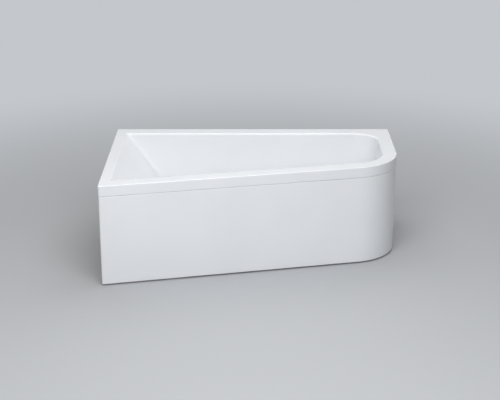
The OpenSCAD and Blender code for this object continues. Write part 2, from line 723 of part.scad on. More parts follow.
module lift_lever() color("darkorange") at_waste()
    translate([0, lever_w / 2, lever_z]) rotate([90, 0, 0]) difference() {
        union() {
            cylinder(r = lever_tip_r, h = lever_w);
            translate([lever_l, 0, 0]) cylinder(r = lever_boss_r, h = lever_w);
            translate([0, -lever_tip_r, 0]) cube([lever_l - lever_root, 2 * lever_tip_r, lever_w]);
            translate([lever_l, 0, 0]) rotate(90 + crank_lean) {
                translate([lever_root, -crank_r, 0]) cube([crank_l - lever_root, 2 * crank_r, lever_w]);
                translate([crank_l, 0, 0]) cylinder(r = crank_r, h = lever_w);
            }
        }
        translate([lever_l, 0, -over]) cylinder(d = pin_d + 2 * run_gap, h = lever_w + 2 * over);
        translate([lever_l, 0, -over]) rotate(90 + crank_lean) translate([crank_l, 0, 0])
            cylinder(d = crank_eye_d, h = lever_w + 2 * over);
    }

// Plug: a cap, a seal that stops just short of the flange's seat, and a guided stem
plug_cap_h = 5;
plug_cap_r = 1.5;
plug_low = waste_z - 1;
plug_boss_h = 6;
plug_seal_h = 4;
seal_lip_low = 1.8;
seal_lip_r = seat_low_r - free_gap - 0.1
    + (seat_high_r - seat_low_r) * (plug_low - seal_lip_low - waste_z + seat_h) / seat_h;
module plug_cap() color("lightsteelblue") at_waste() translate([0, 0, plug_low]) rotate_extrude()
    difference() {
        union() {
            square([plug_d / 2 - plug_cap_r, plug_cap_h]);
            square([plug_d / 2, plug_cap_h - plug_cap_r]);
            translate([plug_d / 2 - plug_cap_r, plug_cap_h - plug_cap_r]) circle(plug_cap_r);
        }
        translate([-plug_d, -over]) square([plug_d, 3 * plug_cap_h]);
    }
module plug_stem() color("silver") at_waste() {
    translate([0, 0, stem_low]) cylinder(d = stem_d, h = plug_low - stem_low);
    translate([0, 0, plug_low - plug_boss_h]) cylinder(d = hub_d, h = plug_boss_h);
}
module plug_seal() color("black") at_waste() translate([0, 0, plug_low]) rotate_extrude()
    polygon([[hub_d / 2, -plug_seal_h], [seal_lip_r - 10, -plug_seal_h],
        [seal_lip_r - 1, -seal_lip_low - 0.7], [seal_lip_r, -seal_lip_low],
        [seal_lip_r - 8, -plug_seal_h / 4], [seal_lip_r - 8, 0], [hub_d / 2, 0]]);

// Overflow: a flange screws through the wall into a body behind it, the knob's spindle runs
// through both, and a drum on the spindle winds the cable
ov_body_d = overflow_hole_d + 8;
ov_tube_d = overflow_hole_d - 2;
ov_flange_d = 68;
ov_flange_t = 3;
ov_back = 60;
ov_flange_back = 12;
ov_thread = 6;
ov_rim = 7;
ov_hub_h = 4;
ov_spigot_z = 40;
ov_spigot_end = 60;
ov_seat = shell_t + seal_t;
spindle_d = 8;
spindle_in = 7;
knob_gap = 6;
knob_h = 14;
knob_grip_h = 4;
knob_edge_r = 3;
knob_wall = 4;
drum_d = 26;
drum_h = 8;
drum_z = 30;
drum_root_r = 5;
drum_slot = 2.4;
drum_mid = -drum_z - drum_h / 2;
ov_gland_d = 12;
ov_gland_end = 44;
module overflow_flange() color("lightsteelblue") at_overflow() difference() {
    union() {
        cylinder(d = ov_flange_d, h = ov_flange_t - over);
        cylinder(d = ov_flange_d - 2 * over, h = ov_flange_t);
        translate([0, 0, -ov_seat - ov_thread]) cylinder(d = ov_tube_d, h = ov_seat + ov_thread + over);
    }
    difference() {
        translate([0, 0, -ov_seat - ov_thread - over])
            cylinder(d = ov_tube_d - 2 * tube_t, h = ov_seat + ov_thread + ov_flange_t + 2 * over);
        spider(ov_flange_t - over - hub_h, ov_tube_d);
    }
    translate([0, 0, -hub_h]) cylinder(d = spindle_d + 2 * run_gap, h = 2 * hub_h);
}
module overflow_seal() color("black") at_overflow() translate([0, 0, -ov_seat])
    ring_solid(ov_body_d + 2 * ov_rim, overflow_hole_d + 1, seal_t);
module overflow_body() color("whitesmoke") at_overflow() difference() {
    union() {
        translate([0, 0, -ov_flange_back])
            cylinder(d = ov_body_d + 2 * ov_rim, h = ov_flange_back - ov_seat);
        translate([0, 0, -ov_back]) cylinder(d = ov_body_d, h = ov_back - ov_flange_back + over);
        translate([0, 0, -ov_spigot_z]) rotate([-90, 0, 0]) cylinder(d = spigot_d, h = ov_spigot_end);
        translate([0, drum_root_r, drum_mid]) rotate([0, 90, 0])
            cylinder(d = ov_gland_d, h = ov_gland_end);
        translate([0, 0, -ov_back - ov_hub_h]) cylinder(d = hub_d, h = ov_hub_h + over);
    }
    translate([0, 0, tube_t - ov_back]) cylinder(d = ov_tube_d + 2 * thread_gap, h = ov_back);
    translate([0, 0, over - ov_back - ov_hub_h]) cylinder(d = spindle_d + 2 * run_gap, h = hub_h);
    translate([0, ov_tube_d / 2 - tube_t, -ov_spigot_z]) rotate([-90, 0, 0])
        cylinder(d = spigot_bore, h = ov_spigot_end);
    translate([ov_tube_d / 2 - tube_t, drum_root_r, drum_mid]) rotate([0, 90, 0])
        cylinder(d = cable_d + 2 * free_gap, h = ov_gland_end);
}
module overflow_knob() color("lightsteelblue") at_overflow() translate([0, 0, knob_gap]) difference() {
    disc_h = knob_h - knob_grip_h;
    union() {
        rotate_extrude() difference() {
            union() {
                square([knob_d / 2 - knob_edge_r, disc_h]);
                translate([0, knob_edge_r]) square([knob_d / 2, disc_h - 2 * knob_edge_r]);
                translate([knob_d / 2 - knob_edge_r, knob_edge_r]) circle(knob_edge_r);
                translate([knob_d / 2 - knob_edge_r, disc_h - knob_edge_r]) circle(knob_edge_r);
            }
            translate([-knob_d, -over]) square([knob_d, 3 * knob_h]);
        }
        intersection() {
            translate([-knob_d / 12, -knob_d / 2, 0]) cube([knob_d / 6, knob_d, knob_h]);
            cylinder(d = knob_d - 2 * knob_wall, h = knob_h);
        }
    }
    difference() {
        translate([0, 0, -over]) cylinder(d = knob_d - 2 * knob_wall, h = disc_h / 2 + over);
        translate([0, 0, -2 * over]) cylinder(d = hub_d, h = 2 * knob_h);
    }
    translate([0, 0, -over]) cylinder(d = spindle_d, h = spindle_in + over);
}
module knob_spindle() color("silver") at_overflow() translate([0, 0, 2 * over - ov_back - ov_hub_h])
    cylinder(d = spindle_d, h = ov_back + ov_hub_h - 2 * over + knob_gap + spindle_in);
module cable_drum() color("darkorange") at_overflow() translate([0, 0, -drum_z - drum_h]) rotate_extrude()
    difference() {
        translate([spindle_d / 2, 0]) square([(drum_d - spindle_d) / 2, drum_h]);
        translate([drum_root_r, (drum_h - drum_slot) / 2]) square([drum_d, drum_slot]);
    }

// Hose from the overflow's spigot to the waste body's: down the wall, round a bend, level to the waste
hose_push = 18;
hose_y0 = -overflow_out - ov_spigot_z * cos(side_draft) + (ov_spigot_end - hose_push) * sin(side_draft);
hose_z0 = bath_h - overflow_drop - ov_spigot_z * sin(side_draft)
    - (ov_spigot_end - hose_push) * cos(side_draft);
hose_down = (hose_z0 - inlet_z - hose_bend_r * (1 - sin(side_draft))) / cos(side_draft);
hose_turn = 90 - side_draft;
hose_arc = hose_bend_r * hose_turn * PI / 180;
hose_level_y = hose_y0 + hose_down * sin(side_draft) + hose_bend_r * cos(side_draft);
hose_level = -(spigot_end - hose_push) - hose_level_y;
hose_length = hose_down + hose_arc + hose_level;
// Heading in degrees and place [y, z] at the distance s along the hose
function hose_heading(s) = -hose_turn + hose_turn * min(1, max(0, (s - hose_down) / hose_arc));
function hose_place(s) =
    s < hose_down ? [hose_y0 + s * sin(side_draft), hose_z0 - s * cos(side_draft)] :
    s < hose_down + hose_arc ? [hose_level_y, inlet_z + hose_bend_r]
        + hose_bend_r * [sin(hose_heading(s)), -cos(hose_heading(s))] :
    [hose_level_y + s - hose_down - hose_arc, inlet_z];
hose_sides = 8;
hose_wall = 1;
hose_rib = 2;
hose_cuff = 24;
hose_cuff_taper = 4;
function hose_ring(s, r) = let (p = hose_place(s), h = hose_heading(s))
    [for (j = [0:hose_sides - 1]) let (a = 360 * (j + 0.5) / hose_sides, u = r * sin(a))
        [r * cos(a), p[0] - u * sin(h), p[1] + u * cos(h)]];

// Tube between an outer and an inner row of rings that share their ends
module hollow_sweep(outer, inner) {
    n = len(outer[0]);
    a = len(outer);
    b = len(inner);
    polyhedron(
        points = concat([for (r = outer) each r], [for (r = inner) each r]),
        faces = concat(
            [for (i = [0:a - 2]) for (j = [0:n - 1]) each let (p = i * n + j, q = i * n + (j + 1) % n)
                [[p, q, q + n], [p, q + n, p + n]]],
            [for (i = [a:a + b - 2]) for (j = [0:n - 1]) each let (p = i * n + j, q = i * n + (j + 1) % n)
                [[p, q + n, q], [p, p + n, q + n]]],
            [for (j = [0:n - 1]) each let (q = (j + 1) % n)
                [[j, a * n + q, q], [j, a * n + j, a * n + q]]],
            [for (j = [0:n - 1]) each let (q = (j + 1) % n, p0 = (a - 1) * n, p1 = (a + b - 1) * n)
                [[p0 + j, p0 + q, p1 + q], [p0 + j, p1 + q, p1 + j]]]));
}
hose_cuff_r = (spigot_d / 2 + free_gap) / cos(180 / hose_sides);
hose_out_r = hose_d / 2;
hose_in_r = hose_d / 2 - hose_rib;
hose_inside = hose_length - 2 * hose_cuff;
rib_count = floor(hose_inside / hose_pitch);
rib_step = hose_inside / rib_count;
hose_bore_steps = 20;
module overflow_hose() color("gainsboro") at_waste() hollow_sweep(
    concat([hose_ring(0, hose_out_r)],
        [for (k = [0:rib_count - 1]) each let (s = hose_cuff + k * rib_step)
            [hose_ring(s, hose_out_r), hose_ring(s + rib_step / 2, hose_in_r)]],
        [hose_ring(hose_length - hose_cuff, hose_out_r), hose_ring(hose_length, hose_out_r)]),
    concat([hose_ring(0, hose_cuff_r), hose_ring(hose_cuff - hose_cuff_taper, hose_cuff_r)],
        [for (k = [0:hose_bore_steps])
            hose_ring(hose_cuff + hose_inside * k / hose_bore_steps, hose_in_r - hose_wall)],
        [hose_ring(hose_length - hose_cuff + hose_cuff_taper, hose_cuff_r),
            hose_ring(hose_length, hose_cuff_r)]));

// Control cable from the overflow's gland to the waste body's: along the front, down the wall, round
// under the floor, level, and round to the waste
cable_push = 10;
cable_bend_r = 45;
cable_low_r = 82;
cable_step = 14;
cable_x = gland_end + cable_push + cable_bend_r;
function beside_wall(x, y) = [x, -overflow_out + y * sin(side_draft) + drum_mid * cos(side_draft),
    bath_h - overflow_drop - y * cos(side_draft) + drum_mid * sin(side_draft)];
cable_down = (beside_wall(0, 0)[2] - gland_z - cable_low_r * (1 - sin(side_draft))) / cos(side_draft);
cable_level_y = beside_wall(0, cable_down)[1] + cable_low_r * cos(side_draft);
function between(a, b) = let (n = ceil(norm(b - a) / cable_step)) [for (k = [1:n - 1]) a + (b - a) * k / n];
function cable_high(a) = beside_wall(cable_x - cable_bend_r * (1 - sin(a)),
    drum_root_r + cable_bend_r * (1 - cos(a)));
function cable_low(h) = [cable_x, cable_level_y + cable_low_r * sin(h),
    gland_z + cable_low_r * (1 - cos(h))];
function cable_last(a) = [cable_x - cable_bend_r * (1 - cos(a)), cable_bend_r * (sin(a) - 1), gland_z];
cable_route = concat(
    [beside_wall(ov_gland_end - cable_push, drum_root_r)],
    [for (a = [0:15:90]) cable_high(a)],
    between(cable_high(90), cable_low(side_draft - 90)),
    [for (k = [8:-1:0]) cable_low((side_draft - 90) * k / 8)],
    between(cable_low(0), cable_last(0)),
    [for (a = [0:15:90]) cable_last(a)],
    [[gland_end - cable_push, 0, gland_z]]);
function cable_frame(k) = let (
        a = cable_route[max(0, k - 1)],
        b = cable_route[min(len(cable_route) - 1, k + 1)],
        t = unit(b - a),
        side = unit(cross(t, [0.6, 0.3, 0.74])))
    [side, cross(side, t)];
cable_sides = 8;
module control_cable() color("dimgray") at_waste() {
    n = cable_sides;
    m = len(cable_route);
    polyhedron(
        points = [for (k = [0:m - 1]) let (f = cable_frame(k)) for (j = [0:n - 1])
            cable_route[k] + cable_d / 2 * (cos(360 * j / n) * f[0] + sin(360 * j / n) * f[1])],
        faces = concat([[for (j = [n - 1:-1:0]) j]], [[for (j = [0:n - 1]) (m - 1) * n + j]],
            [for (i = [0:m - 2]) for (j = [0:n - 1]) each let (a = i * n + j, b = i * n + (j + 1) % n)
                [[a, b, b + n], [a, b + n, a + n]]]));
}

// Trap: a union nut, a head with a dip tube and a side outlet, a screwed cup and an outlet pipe
collar_low = body_low - collar_h;
washer_t = 3;
neck_in = 7;
neck_d = collar_d + 8;
trap_ledge = collar_low - washer_t;
trap_top = trap_ledge - 5;
trap_t = 3;
trap_low = 30;
trap_floor = 12;
cup_wall = 4;
cup_thread = 8;
outlet_z = trap_top - 18;
dip_low = trap_floor + 10;
socket_d = outlet_d + 7;
outlet_in_d = outlet_d - 0.4;
socket_end = 80;
cone_l = 8;
nut_wall = 5;
nut_shoulder = 2;
rib_t = 3;
module ribs(n, r, h) for (k = [0:n - 1])
    rotate(360 * k / n) translate([r - over, -rib_t / 2, 0]) cube([rib_t, rib_t, h]);
module trap_nut() color("dimgray") at_waste() translate([0, 0, trap_top + over]) difference() {
    bore_h = collar_low + neck_in + nut_shoulder - trap_top - over;
    union() {
        cylinder(d = neck_d + 2 * nut_wall, h = bore_h + nut_shoulder);
        ribs(12, neck_d / 2 + nut_wall, bore_h);
    }
    translate([0, 0, -over]) cylinder(d = neck_d + 2 * thread_gap, h = bore_h + over);
    translate([0, 0, -over]) cylinder(d = collar_d + 2 * thread_gap, h = 4 * collar_h);
}
module trap_washer() color("black") at_waste() translate([0, 0, trap_ledge])
    ring_solid(collar_d, collar_bore, washer_t);
module trap_head() color("whitesmoke") at_waste() difference() {
    union() {
        difference() {
            translate([0, 0, trap_low]) cylinder(d = trap_d, h = trap_top - trap_low);
            translate([0, 0, trap_low - over])
                cylinder(d = trap_d - 2 * trap_t, h = trap_top - trap_low - trap_t + over);
        }
        translate([0, 0, trap_top - over]) cylinder(d = neck_d, h = collar_low + neck_in - trap_top);
        translate([0, 0, dip_low]) cylinder(d = collar_bore + 2 * trap_t, h = trap_top - dip_low);
        difference() {
            translate([0, trap_d / 2 - trap_t, outlet_z]) rotate([-90, 0, 0])
                cylinder(d = socket_d, h = socket_end - trap_d / 2 + trap_t);
            cylinder(d = trap_d - trap_t, h = trap_top);
        }
    }
    translate([0, 0, dip_low - over]) cylinder(d = collar_bore, h = bath_h);
    translate([0, 0, trap_ledge]) cylinder(d = collar_d + 2 * thread_gap, h = bath_h);
    translate([0, trap_d / 2 - 2 * trap_t, outlet_z]) rotate([-90, 0, 0])
        cylinder(d = outlet_d - 2 * outlet_wall, h = trap_d);
    translate([0, trap_d / 2 + trap_t, outlet_z]) rotate([-90, 0, 0])
        cylinder(d = outlet_in_d + 2 * thread_gap, h = trap_d);
    translate([0, socket_end - cone_l, outlet_z]) rotate([-90, 0, 0])
        cylinder(d = seal_big_d, h = trap_d);
}
module trap_cup() color("whitesmoke") at_waste() translate([0, 0, trap_floor]) difference() {
    union() {
        cylinder(d = trap_d + 2 * cup_wall, h = trap_low - trap_floor + cup_thread);
        ribs(16, trap_d / 2 + cup_wall, trap_low - trap_floor + cup_thread - 2);
    }
    translate([0, 0, trap_t]) cylinder(d = trap_d + 2 * thread_gap, h = trap_d);
}
seal_big_d = outlet_d + 5;
seal_small_d = outlet_d + 3;
module outlet_seal() color("black") at_waste() translate([0, socket_end, outlet_z]) rotate([90, 0, 0])
    difference() {
        cylinder(d1 = seal_big_d, d2 = seal_small_d, h = cone_l);
        translate([0, 0, -over]) cylinder(d = outlet_in_d + 2 * thread_gap, h = cone_l + 2 * over);
    }
outlet_nut_l = 20;
module outlet_nut() color("dimgray") at_waste() translate([0, socket_end + cup_wall, outlet_z])
    rotate([90, 0, 0]) difference() {
        union() {
            cylinder(d = socket_d + 2 * cup_wall, h = outlet_nut_l);
            ribs(12, socket_d / 2 + cup_wall, outlet_nut_l - 2);
        }
        translate([0, 0, cup_wall]) cylinder(d = socket_d + 2 * thread_gap, h = outlet_nut_l);
        translate([0, 0, -over]) cylinder(d = outlet_in_d + 2 * thread_gap, h = 2 * outlet_nut_l);
    }
outlet_wall = 1.8;
outlet_wall_gap = 15;
outlet_start = trap_d / 2 + trap_t + over;
outlet_l = (waste_back - outlet_wall_gap) / cos(front_a) - outlet_start;
outlet_bead_at = socket_end + cup_wall - outlet_start;
outlet_bead_t = 3;
outlet_bead_h = 1.5;
module outlet_pipe() color("whitesmoke") at_waste() translate([0, outlet_start, outlet_z])
    rotate([-90, 0, 0]) difference() {
        union() {
            cylinder(d = outlet_in_d, h = outlet_l - over);
            translate([0, 0, outlet_bead_at]) cylinder(d = outlet_d, h = outlet_l - outlet_bead_at);
            translate([0, 0, outlet_bead_at])
                cylinder(d = outlet_d + 2 * outlet_bead_h, h = outlet_bead_t);
        }
        translate([0, 0, -over]) cylinder(d = outlet_d - 2 * outlet_wall, h = outlet_l + 2 * over);
    }

bath_shell();
base_board();
rim_batten_back();
rim_batten_head();
rim_batten_front();
rim_batten_foot();
leg_rail_head();
leg_rail_middle();
leg_rail_foot();
rail_screws();
captive_nuts();
lock_nuts();
foot_pad_1();
foot_pad_2();
foot_pad_3();
foot_pad_4();
foot_pad_5();
foot_pad_6();
foot_stud_1();
foot_stud_2();
foot_stud_3();
foot_stud_4();
foot_stud_5();
foot_stud_6();
apron_panel();
panel_stiffeners();
panel_clips();
panel_clip_screws();
panel_brackets();
panel_bracket_screws();
wall_hooks();
waste_flange();
waste_seal();
waste_body();
plug_cap();
plug_seal();
plug_stem();
lift_lever();
lever_pin();
overflow_flange();
overflow_seal();
overflow_body();
overflow_knob();
knob_spindle();
cable_drum();
control_cable();
overflow_hose();
trap_nut();
trap_washer();
trap_head();
trap_cup();
outlet_nut();
outlet_seal();
outlet_pipe();
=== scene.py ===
# %% [markdown]
# # A space-saving acrylic bath
# The bath is wide at the head and narrow at the foot, with a slanting front and one big round
# corner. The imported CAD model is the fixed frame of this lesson: every size and place comes from
# it, and the pieces made here are finer skins for its solids. Lengths are in metres, X runs along
# the wall to the foot end, Y runs to the wall, and Z is up.

# %% Load the frame
from math import atan, atan2, cos, degrees, pi, radians, sin, sqrt, tan
import bmesh
import bpy
from mathutils import Euler, Matrix, Vector


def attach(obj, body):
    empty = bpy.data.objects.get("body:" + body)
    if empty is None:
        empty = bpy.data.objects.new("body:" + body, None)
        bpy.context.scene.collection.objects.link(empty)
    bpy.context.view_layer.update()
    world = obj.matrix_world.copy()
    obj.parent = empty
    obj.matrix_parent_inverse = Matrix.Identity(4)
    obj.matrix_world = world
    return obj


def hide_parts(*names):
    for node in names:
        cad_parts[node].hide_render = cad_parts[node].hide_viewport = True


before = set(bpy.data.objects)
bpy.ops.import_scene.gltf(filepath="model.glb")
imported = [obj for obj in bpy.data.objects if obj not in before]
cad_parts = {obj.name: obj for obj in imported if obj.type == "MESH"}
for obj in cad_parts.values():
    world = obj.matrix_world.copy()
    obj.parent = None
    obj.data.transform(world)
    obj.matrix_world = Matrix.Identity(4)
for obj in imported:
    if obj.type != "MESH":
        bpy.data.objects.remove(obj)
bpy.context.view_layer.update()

scene = bpy.context.scene

# %% [markdown]
# ## Camera
# The photograph looks straight at the wall from a little above. Its focal length, height and tilt
# were worked out from the bath's own corners, so the render falls on the photograph.

# %% Camera
FOCAL_MM = 86.92
SENSOR_MM = 36.0
CAMERA_PLACE = (-0.0176, -6.7554, 2.7571)
CAMERA_PITCH = 0.3469

camera_data = bpy.data.cameras.new("photo_camera")
camera_data.lens = FOCAL_MM
camera_data.sensor_width = SENSOR_MM
camera = bpy.data.objects.new("photo_camera", camera_data)
scene.collection.objects.link(camera)
camera.location = CAMERA_PLACE
camera.rotation_euler = Euler((radians(90) - CAMERA_PITCH, 0, 0))
scene.camera = camera

# %% [markdown]
# ## Sizes that the skins share with the CAD model
# The rim is a four-sided outline with rounded corners. The basin hangs from it: its walls stand
# further in at each depth, by a roll at the rim, a slope and a fillet to the floor. These are the
# CAD source's formulas, because the skin must lie where the solid lies.

# %% Sizes in metres
LENGTH = 1.700
WIDE = 1.100
NARROW = 0.720
HEIGHT = 0.592
CORNER_R = 0.300
SMALL_R = 0.010
SHELL = 0.005
LIP = 0.061
INNER_DEPTH = 0.420
FLOOR_FALL = 0.005
FRONT_FLAT, BACK_FLAT, FOOT_FLAT, HEAD_FLAT = 0.080, 0.084, 0.072, 0.050
BACK_SLOPE, SIDE_SLOPE, FOOT_SLOPE = radians(37), radians(6), radians(9)
WALL_ROLL, HEAD_ROLL = 0.012, 0.022
FLOOR_FILLET, HEAD_FILLET = 0.060, 0.150
RIM_R = (0.022, 0.218, 0.150, 0.022)
FLOOR_R = (0.030, 0.165, 0.130, 0.030)
WASTE_AT, WASTE_BACK = 1.060, 0.430
OVERFLOW_DROP = 0.130

FRONT_ANGLE = atan((WIDE - NARROW) / LENGTH)
CORNER_CUT = SMALL_R * (cos(FRONT_ANGLE) / (1 - sin(FRONT_ANGLE)) - 1)
LEFT, RIGHT = -LENGTH / 2, LENGTH / 2
FRONT = -(WIDE + CORNER_CUT) / 2
BACK = (WIDE - CORNER_CUT) / 2
LIP_LOW = HEIGHT - LIP
FLOOR_UNDER = HEIGHT - INNER_DEPTH - SHELL


def front_y(x):
    """Where the slanting front line of the rim runs at x."""
    return FRONT + (WIDE - NARROW) / LENGTH * (x - LEFT)


RIM = [(LEFT, FRONT), (RIGHT, front_y(RIGHT)), (RIGHT, BACK), (LEFT, BACK)]
RIM = [Vector(c) for c in RIM]
RIM_RADII = (SMALL_R, CORNER_R, SMALL_R, SMALL_R)
WASTE = Vector((LEFT + WASTE_AT, BACK - WASTE_BACK))
print("front slants by", round(degrees(FRONT_ANGLE), 2), "degrees; waste at", tuple(WASTE))

# %% [markdown]
# ## Outlines
# An outline has the same number of points at every size. Two outlines can then be joined point
# to point, with no twist, which is what an extruded skin needs.

# %% Outline helpers
SHARP_R = 0.0008
STEPS = ((6, 44, 22, 8), (44, 12, 40, 28))


def normals_at(corners, k):
    """Outward normals of the two sides that meet at corner k."""
    into = (corners[k] - corners[k - 1]).normalized()
    out = (corners[(k + 1) % 4] - corners[k]).normalized()
    return Vector((into.y, -into.x)), Vector((out.y, -out.x))


def inwards(corners, k, distance):
    """Corner k moved inwards, so that its two sides stand that distance further in."""
    a, b = normals_at(corners, k)
    return corners[k] - distance * (a + b) / (1 + a.dot(b))


def outline(corners, radii, steps=STEPS):
    """Points round the rounded corners, anticlockwise from the first corner's arc, with so many
    steps on the four arcs and on the four sides."""
    arc_steps, side_steps = steps
    arcs = []
    for k in range(4):
        a, b = normals_at(corners, k)
        centre = inwards(corners, k, radii[k])
        start, turn = atan2(a.y, a.x), a.angle(b)
        angles = [start + turn * j / arc_steps[k] for j in range(arc_steps[k] + 1)]
        arcs.append([centre + radii[k] * Vector((cos(t), sin(t))) for t in angles])
    ring = []
    for k in range(4):
        end, start = arcs[k][-1], arcs[(k + 1) % 4][0]
        ring += arcs[k]
        ring += [end.lerp(start, j / side_steps[k]) for j in range(1, side_steps[k])]
    return ring


def rim_outline(distance, steps=STEPS):
    """The rim's outline that far inside its edge."""
    radii = [max(r - distance, SHARP_R) for r in RIM_RADII]
    return outline([inwards(RIM, k, distance) for k in range(4)], radii, steps)


def roll_drop(radius, slope):
    return radius * (1 - sin(slope))


def wall_inset(drop, slope, roll, fillet, depth):
    """How far a basin wall stands in from the rim's inner edge at that drop."""
    high, low = roll_drop(roll, slope), roll_drop(fillet, slope)
    if drop < high:
        return sqrt(max(0, roll ** 2 - (roll - drop) ** 2))
    if drop < depth - low:
        return roll * cos(slope) + (drop - high) * tan(slope)
    floor = (roll + fillet) * cos(slope) + (depth - high - low) * tan(slope)
    return floor - sqrt(max(0, fillet ** 2 - (fillet - depth + drop) ** 2))


def basin_outline(drop, depth, grow):
    """The basin's outline at a drop, for a surface that lies grow outside the inner one."""
    head = wall_inset(drop, BACK_SLOPE, HEAD_ROLL - grow, HEAD_FILLET + grow, depth)
    side = wall_inset(drop, SIDE_SLOPE, WALL_ROLL - grow, FLOOR_FILLET + grow, depth)
    foot = wall_inset(drop, FOOT_SLOPE, WALL_ROLL - grow, FLOOR_FILLET + grow, depth)
    lift = (FRONT_FLAT + side) / cos(FRONT_ANGLE)
    x_head, x_foot = LEFT + HEAD_FLAT + head, RIGHT - FOOT_FLAT - foot
    y_back = BACK - BACK_FLAT - side
    corners = [Vector((x, front_y(x) + lift)) for x in (x_head, x_foot)]
    corners += [Vector((x, y_back)) for x in (x_foot, x_head)]
    share = (drop / depth) ** 2
    radii = [a + grow + share * (b - a) for a, b in zip(RIM_R, FLOOR_R)]
    return outline(corners, radii)


# %% [markdown]
# ## Selecting and editing in code
# An operator acts on all that is selected, so each step first clears the selection. A skin that
# follows changing outlines is made by extruding a circle again and again, and each new ring of
# points is moved to the next outline.

# %% Editing helpers
MERGE = 1e-6


def select_only(*objects):
    """Clears the selection and selects these objects, the first of them active."""
    if bpy.context.mode != "OBJECT":
        bpy.ops.object.mode_set(mode="OBJECT")
    bpy.ops.object.select_all(action="DESELECT")
    for obj in objects:
        obj.select_set(True)
    bpy.context.view_layer.objects.active = objects[0]


def apply_modifier(obj, kind, **settings):
    """Adds a modifier and applies it at once."""
    select_only(obj)
    modifier = obj.modifiers.new(kind.lower(), kind)
    for name, value in settings.items():
        setattr(modifier, name, value)
    bpy.ops.object.modifier_apply(modifier=modifier.name)


def finish_piece(obj, name, body, finish, node, smooth_degrees=30):
    """Names a piece, puts its place into its mesh, shades it smooth, gives it the finish's
    material if it has none yet, hangs it on the body it rides on, and hides the CAD node that it
    stands for."""
    slot, material = finish
    select_only(obj)
    bpy.ops.object.transform_apply()
    bpy.ops.object.shade_smooth_by_angle(angle=radians(smooth_degrees))
    obj.name = obj.data.name = name
    if not obj.data.materials:
        obj.data.materials.append(material)
    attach(obj, body)
    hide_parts(node)
    size = [round(1000 * d) for d in obj.dimensions]
    print(name, len(obj.data.polygons), "faces,", size, "mm")


def recalculate_normals(obj):
    select_only(obj)
    bpy.ops.object.mode_set(mode="EDIT")
    bpy.ops.mesh.select_all(action="SELECT")
    bpy.ops.mesh.normals_make_consistent()
    bpy.ops.object.mode_set(mode="OBJECT")


def extrude_rings(rings, closed_loop=False):
    """Extrudes a circle through the rings, each a list of points. In a closed loop the last ring
    is joined to the first. Returns the object and the number of each face's later ring."""
    bpy.ops.mesh.primitive_circle_add(vertices=len(rings[0]))
    obj = bpy.context.object
    bpy.ops.object.mode_set(mode="EDIT")
    mesh = bmesh.from_edit_mesh(obj.data)
    place, level = [mesh.verts.layers.int.new(name) for name in ("place", "level")]
    for j, vertex in enumerate(mesh.verts):
        vertex[place] = j
    bpy.ops.mesh.select_all(action="SELECT")
    for number, ring in enumerate(rings):
        if number > 0:
            bpy.ops.mesh.extrude_edges_move()
        mesh = bmesh.from_edit_mesh(obj.data)
        place, level = [mesh.verts.layers.int[name] for name in ("place", "level")]
        for vertex in mesh.verts:
            if vertex.select:
                vertex[level], vertex.co = number, ring[vertex[place]]
        bmesh.update_edit_mesh(obj.data)
    numbers = [max(v[level] for v in face.verts) for face in mesh.faces]
    if closed_loop:
        bpy.ops.mesh.select_all(action="SELECT")
        bpy.ops.mesh.remove_doubles(threshold=MERGE)
    recalculate_normals(obj)
    return obj, numbers


# %% [markdown]
# ## Finishes
# One function turns a hex colour to linear light, one makes a material, and one adds a node with
# its settings and links. Short names stand for the nodes that come up most. Patterns read Object
# coordinates, which are metres here, so their scale is one over the real size of a feature.

# %% Material helpers
def linear(code):
    """An sRGB hex colour as linear light, with an alpha of 1."""
    parts = [int(code[k:k + 2], 16) / 255 for k in (1, 3, 5)]
    return [p / 12.92 if p <= 0.04045 else ((p + 0.055) / 1.055) ** 2.4 for p in parts] + [1.0]


def per(millimetres):
    """The texture scale at which a feature has that size."""
    return 1000 / millimetres


NOISE, CELLS, RAMP = "ShaderNodeTexNoise", "ShaderNodeTexVoronoi", "ShaderNodeValToRGB"
RANGE, RELIEF, MATH = "ShaderNodeMapRange", "ShaderNodeBump", "ShaderNodeMath"
SPLIT, MIX_SHADER = "ShaderNodeSeparateColor", "ShaderNodeMixShader"


def output_of(source):
    """A node's first output, or the socket itself."""
    return source.outputs[0] if isinstance(source, bpy.types.Node) else source


def add_node(near, kind, settings=None, links=None):
    """Adds a node to the tree of another node or socket, sets its properties or inputs, and links
    nodes or sockets to its inputs. A colour ramp's stops are pairs of a place and a hex colour."""
    tree = near.id_data
    node = tree.nodes.new(kind)
    for name, value in (settings or {}).items():
        if name == "stops":
            ramp = node.color_ramp.elements
            while len(ramp) < len(value):
                ramp.new(0.5)
            for element, (spot, colour) in zip(ramp, value):
                element.position = spot
                element.color = linear(colour)
        elif isinstance(name, int) or name in node.inputs:
            node.inputs[name].default_value = value
        else:
            setattr(node, name, value)
    for name, source in (links or {}).items():
        tree.links.new(output_of(source), node.inputs[name])
    return node


def drive(node, **sources):
    """Links nodes or sockets to a node's inputs of those names."""
    for name, source in sources.items():
        node.id_data.links.new(output_of(source), node.inputs[name.replace("_", " ")])


def new_material(name, **sockets):
    """A material with a Principled shader whose sockets are set. Returns it with its shader and
    the Object coordinates."""
    material = bpy.data.materials.new(name)
    material.use_nodes = True
    shader = material.node_tree.nodes["Principled BSDF"]
    for socket, value in sockets.items():
        key = socket.replace("_", " ")
        shader.inputs[key].default_value = linear(value) if isinstance(value, str) else value
    place = add_node(shader, "ShaderNodeTexCoord").outputs["Object"]
    print("material:", name)
    return material, shader, place

# %% [markdown]
# ### Sanitary acrylic
# The bath and its panel are cast acrylic sheet, drawn by vacuum over a mould. The sheet is a cool
# white right through, and glossy. Drawing leaves a very long, very shallow waviness that only
# shows where a light is mirrored, and wiping leaves faint changes of gloss.

# %% Sanitary acrylic
ACRYLIC_IOR = 1.49
WAVE_MM, WIPE_MM, TINT_MM = 70, 160, 420

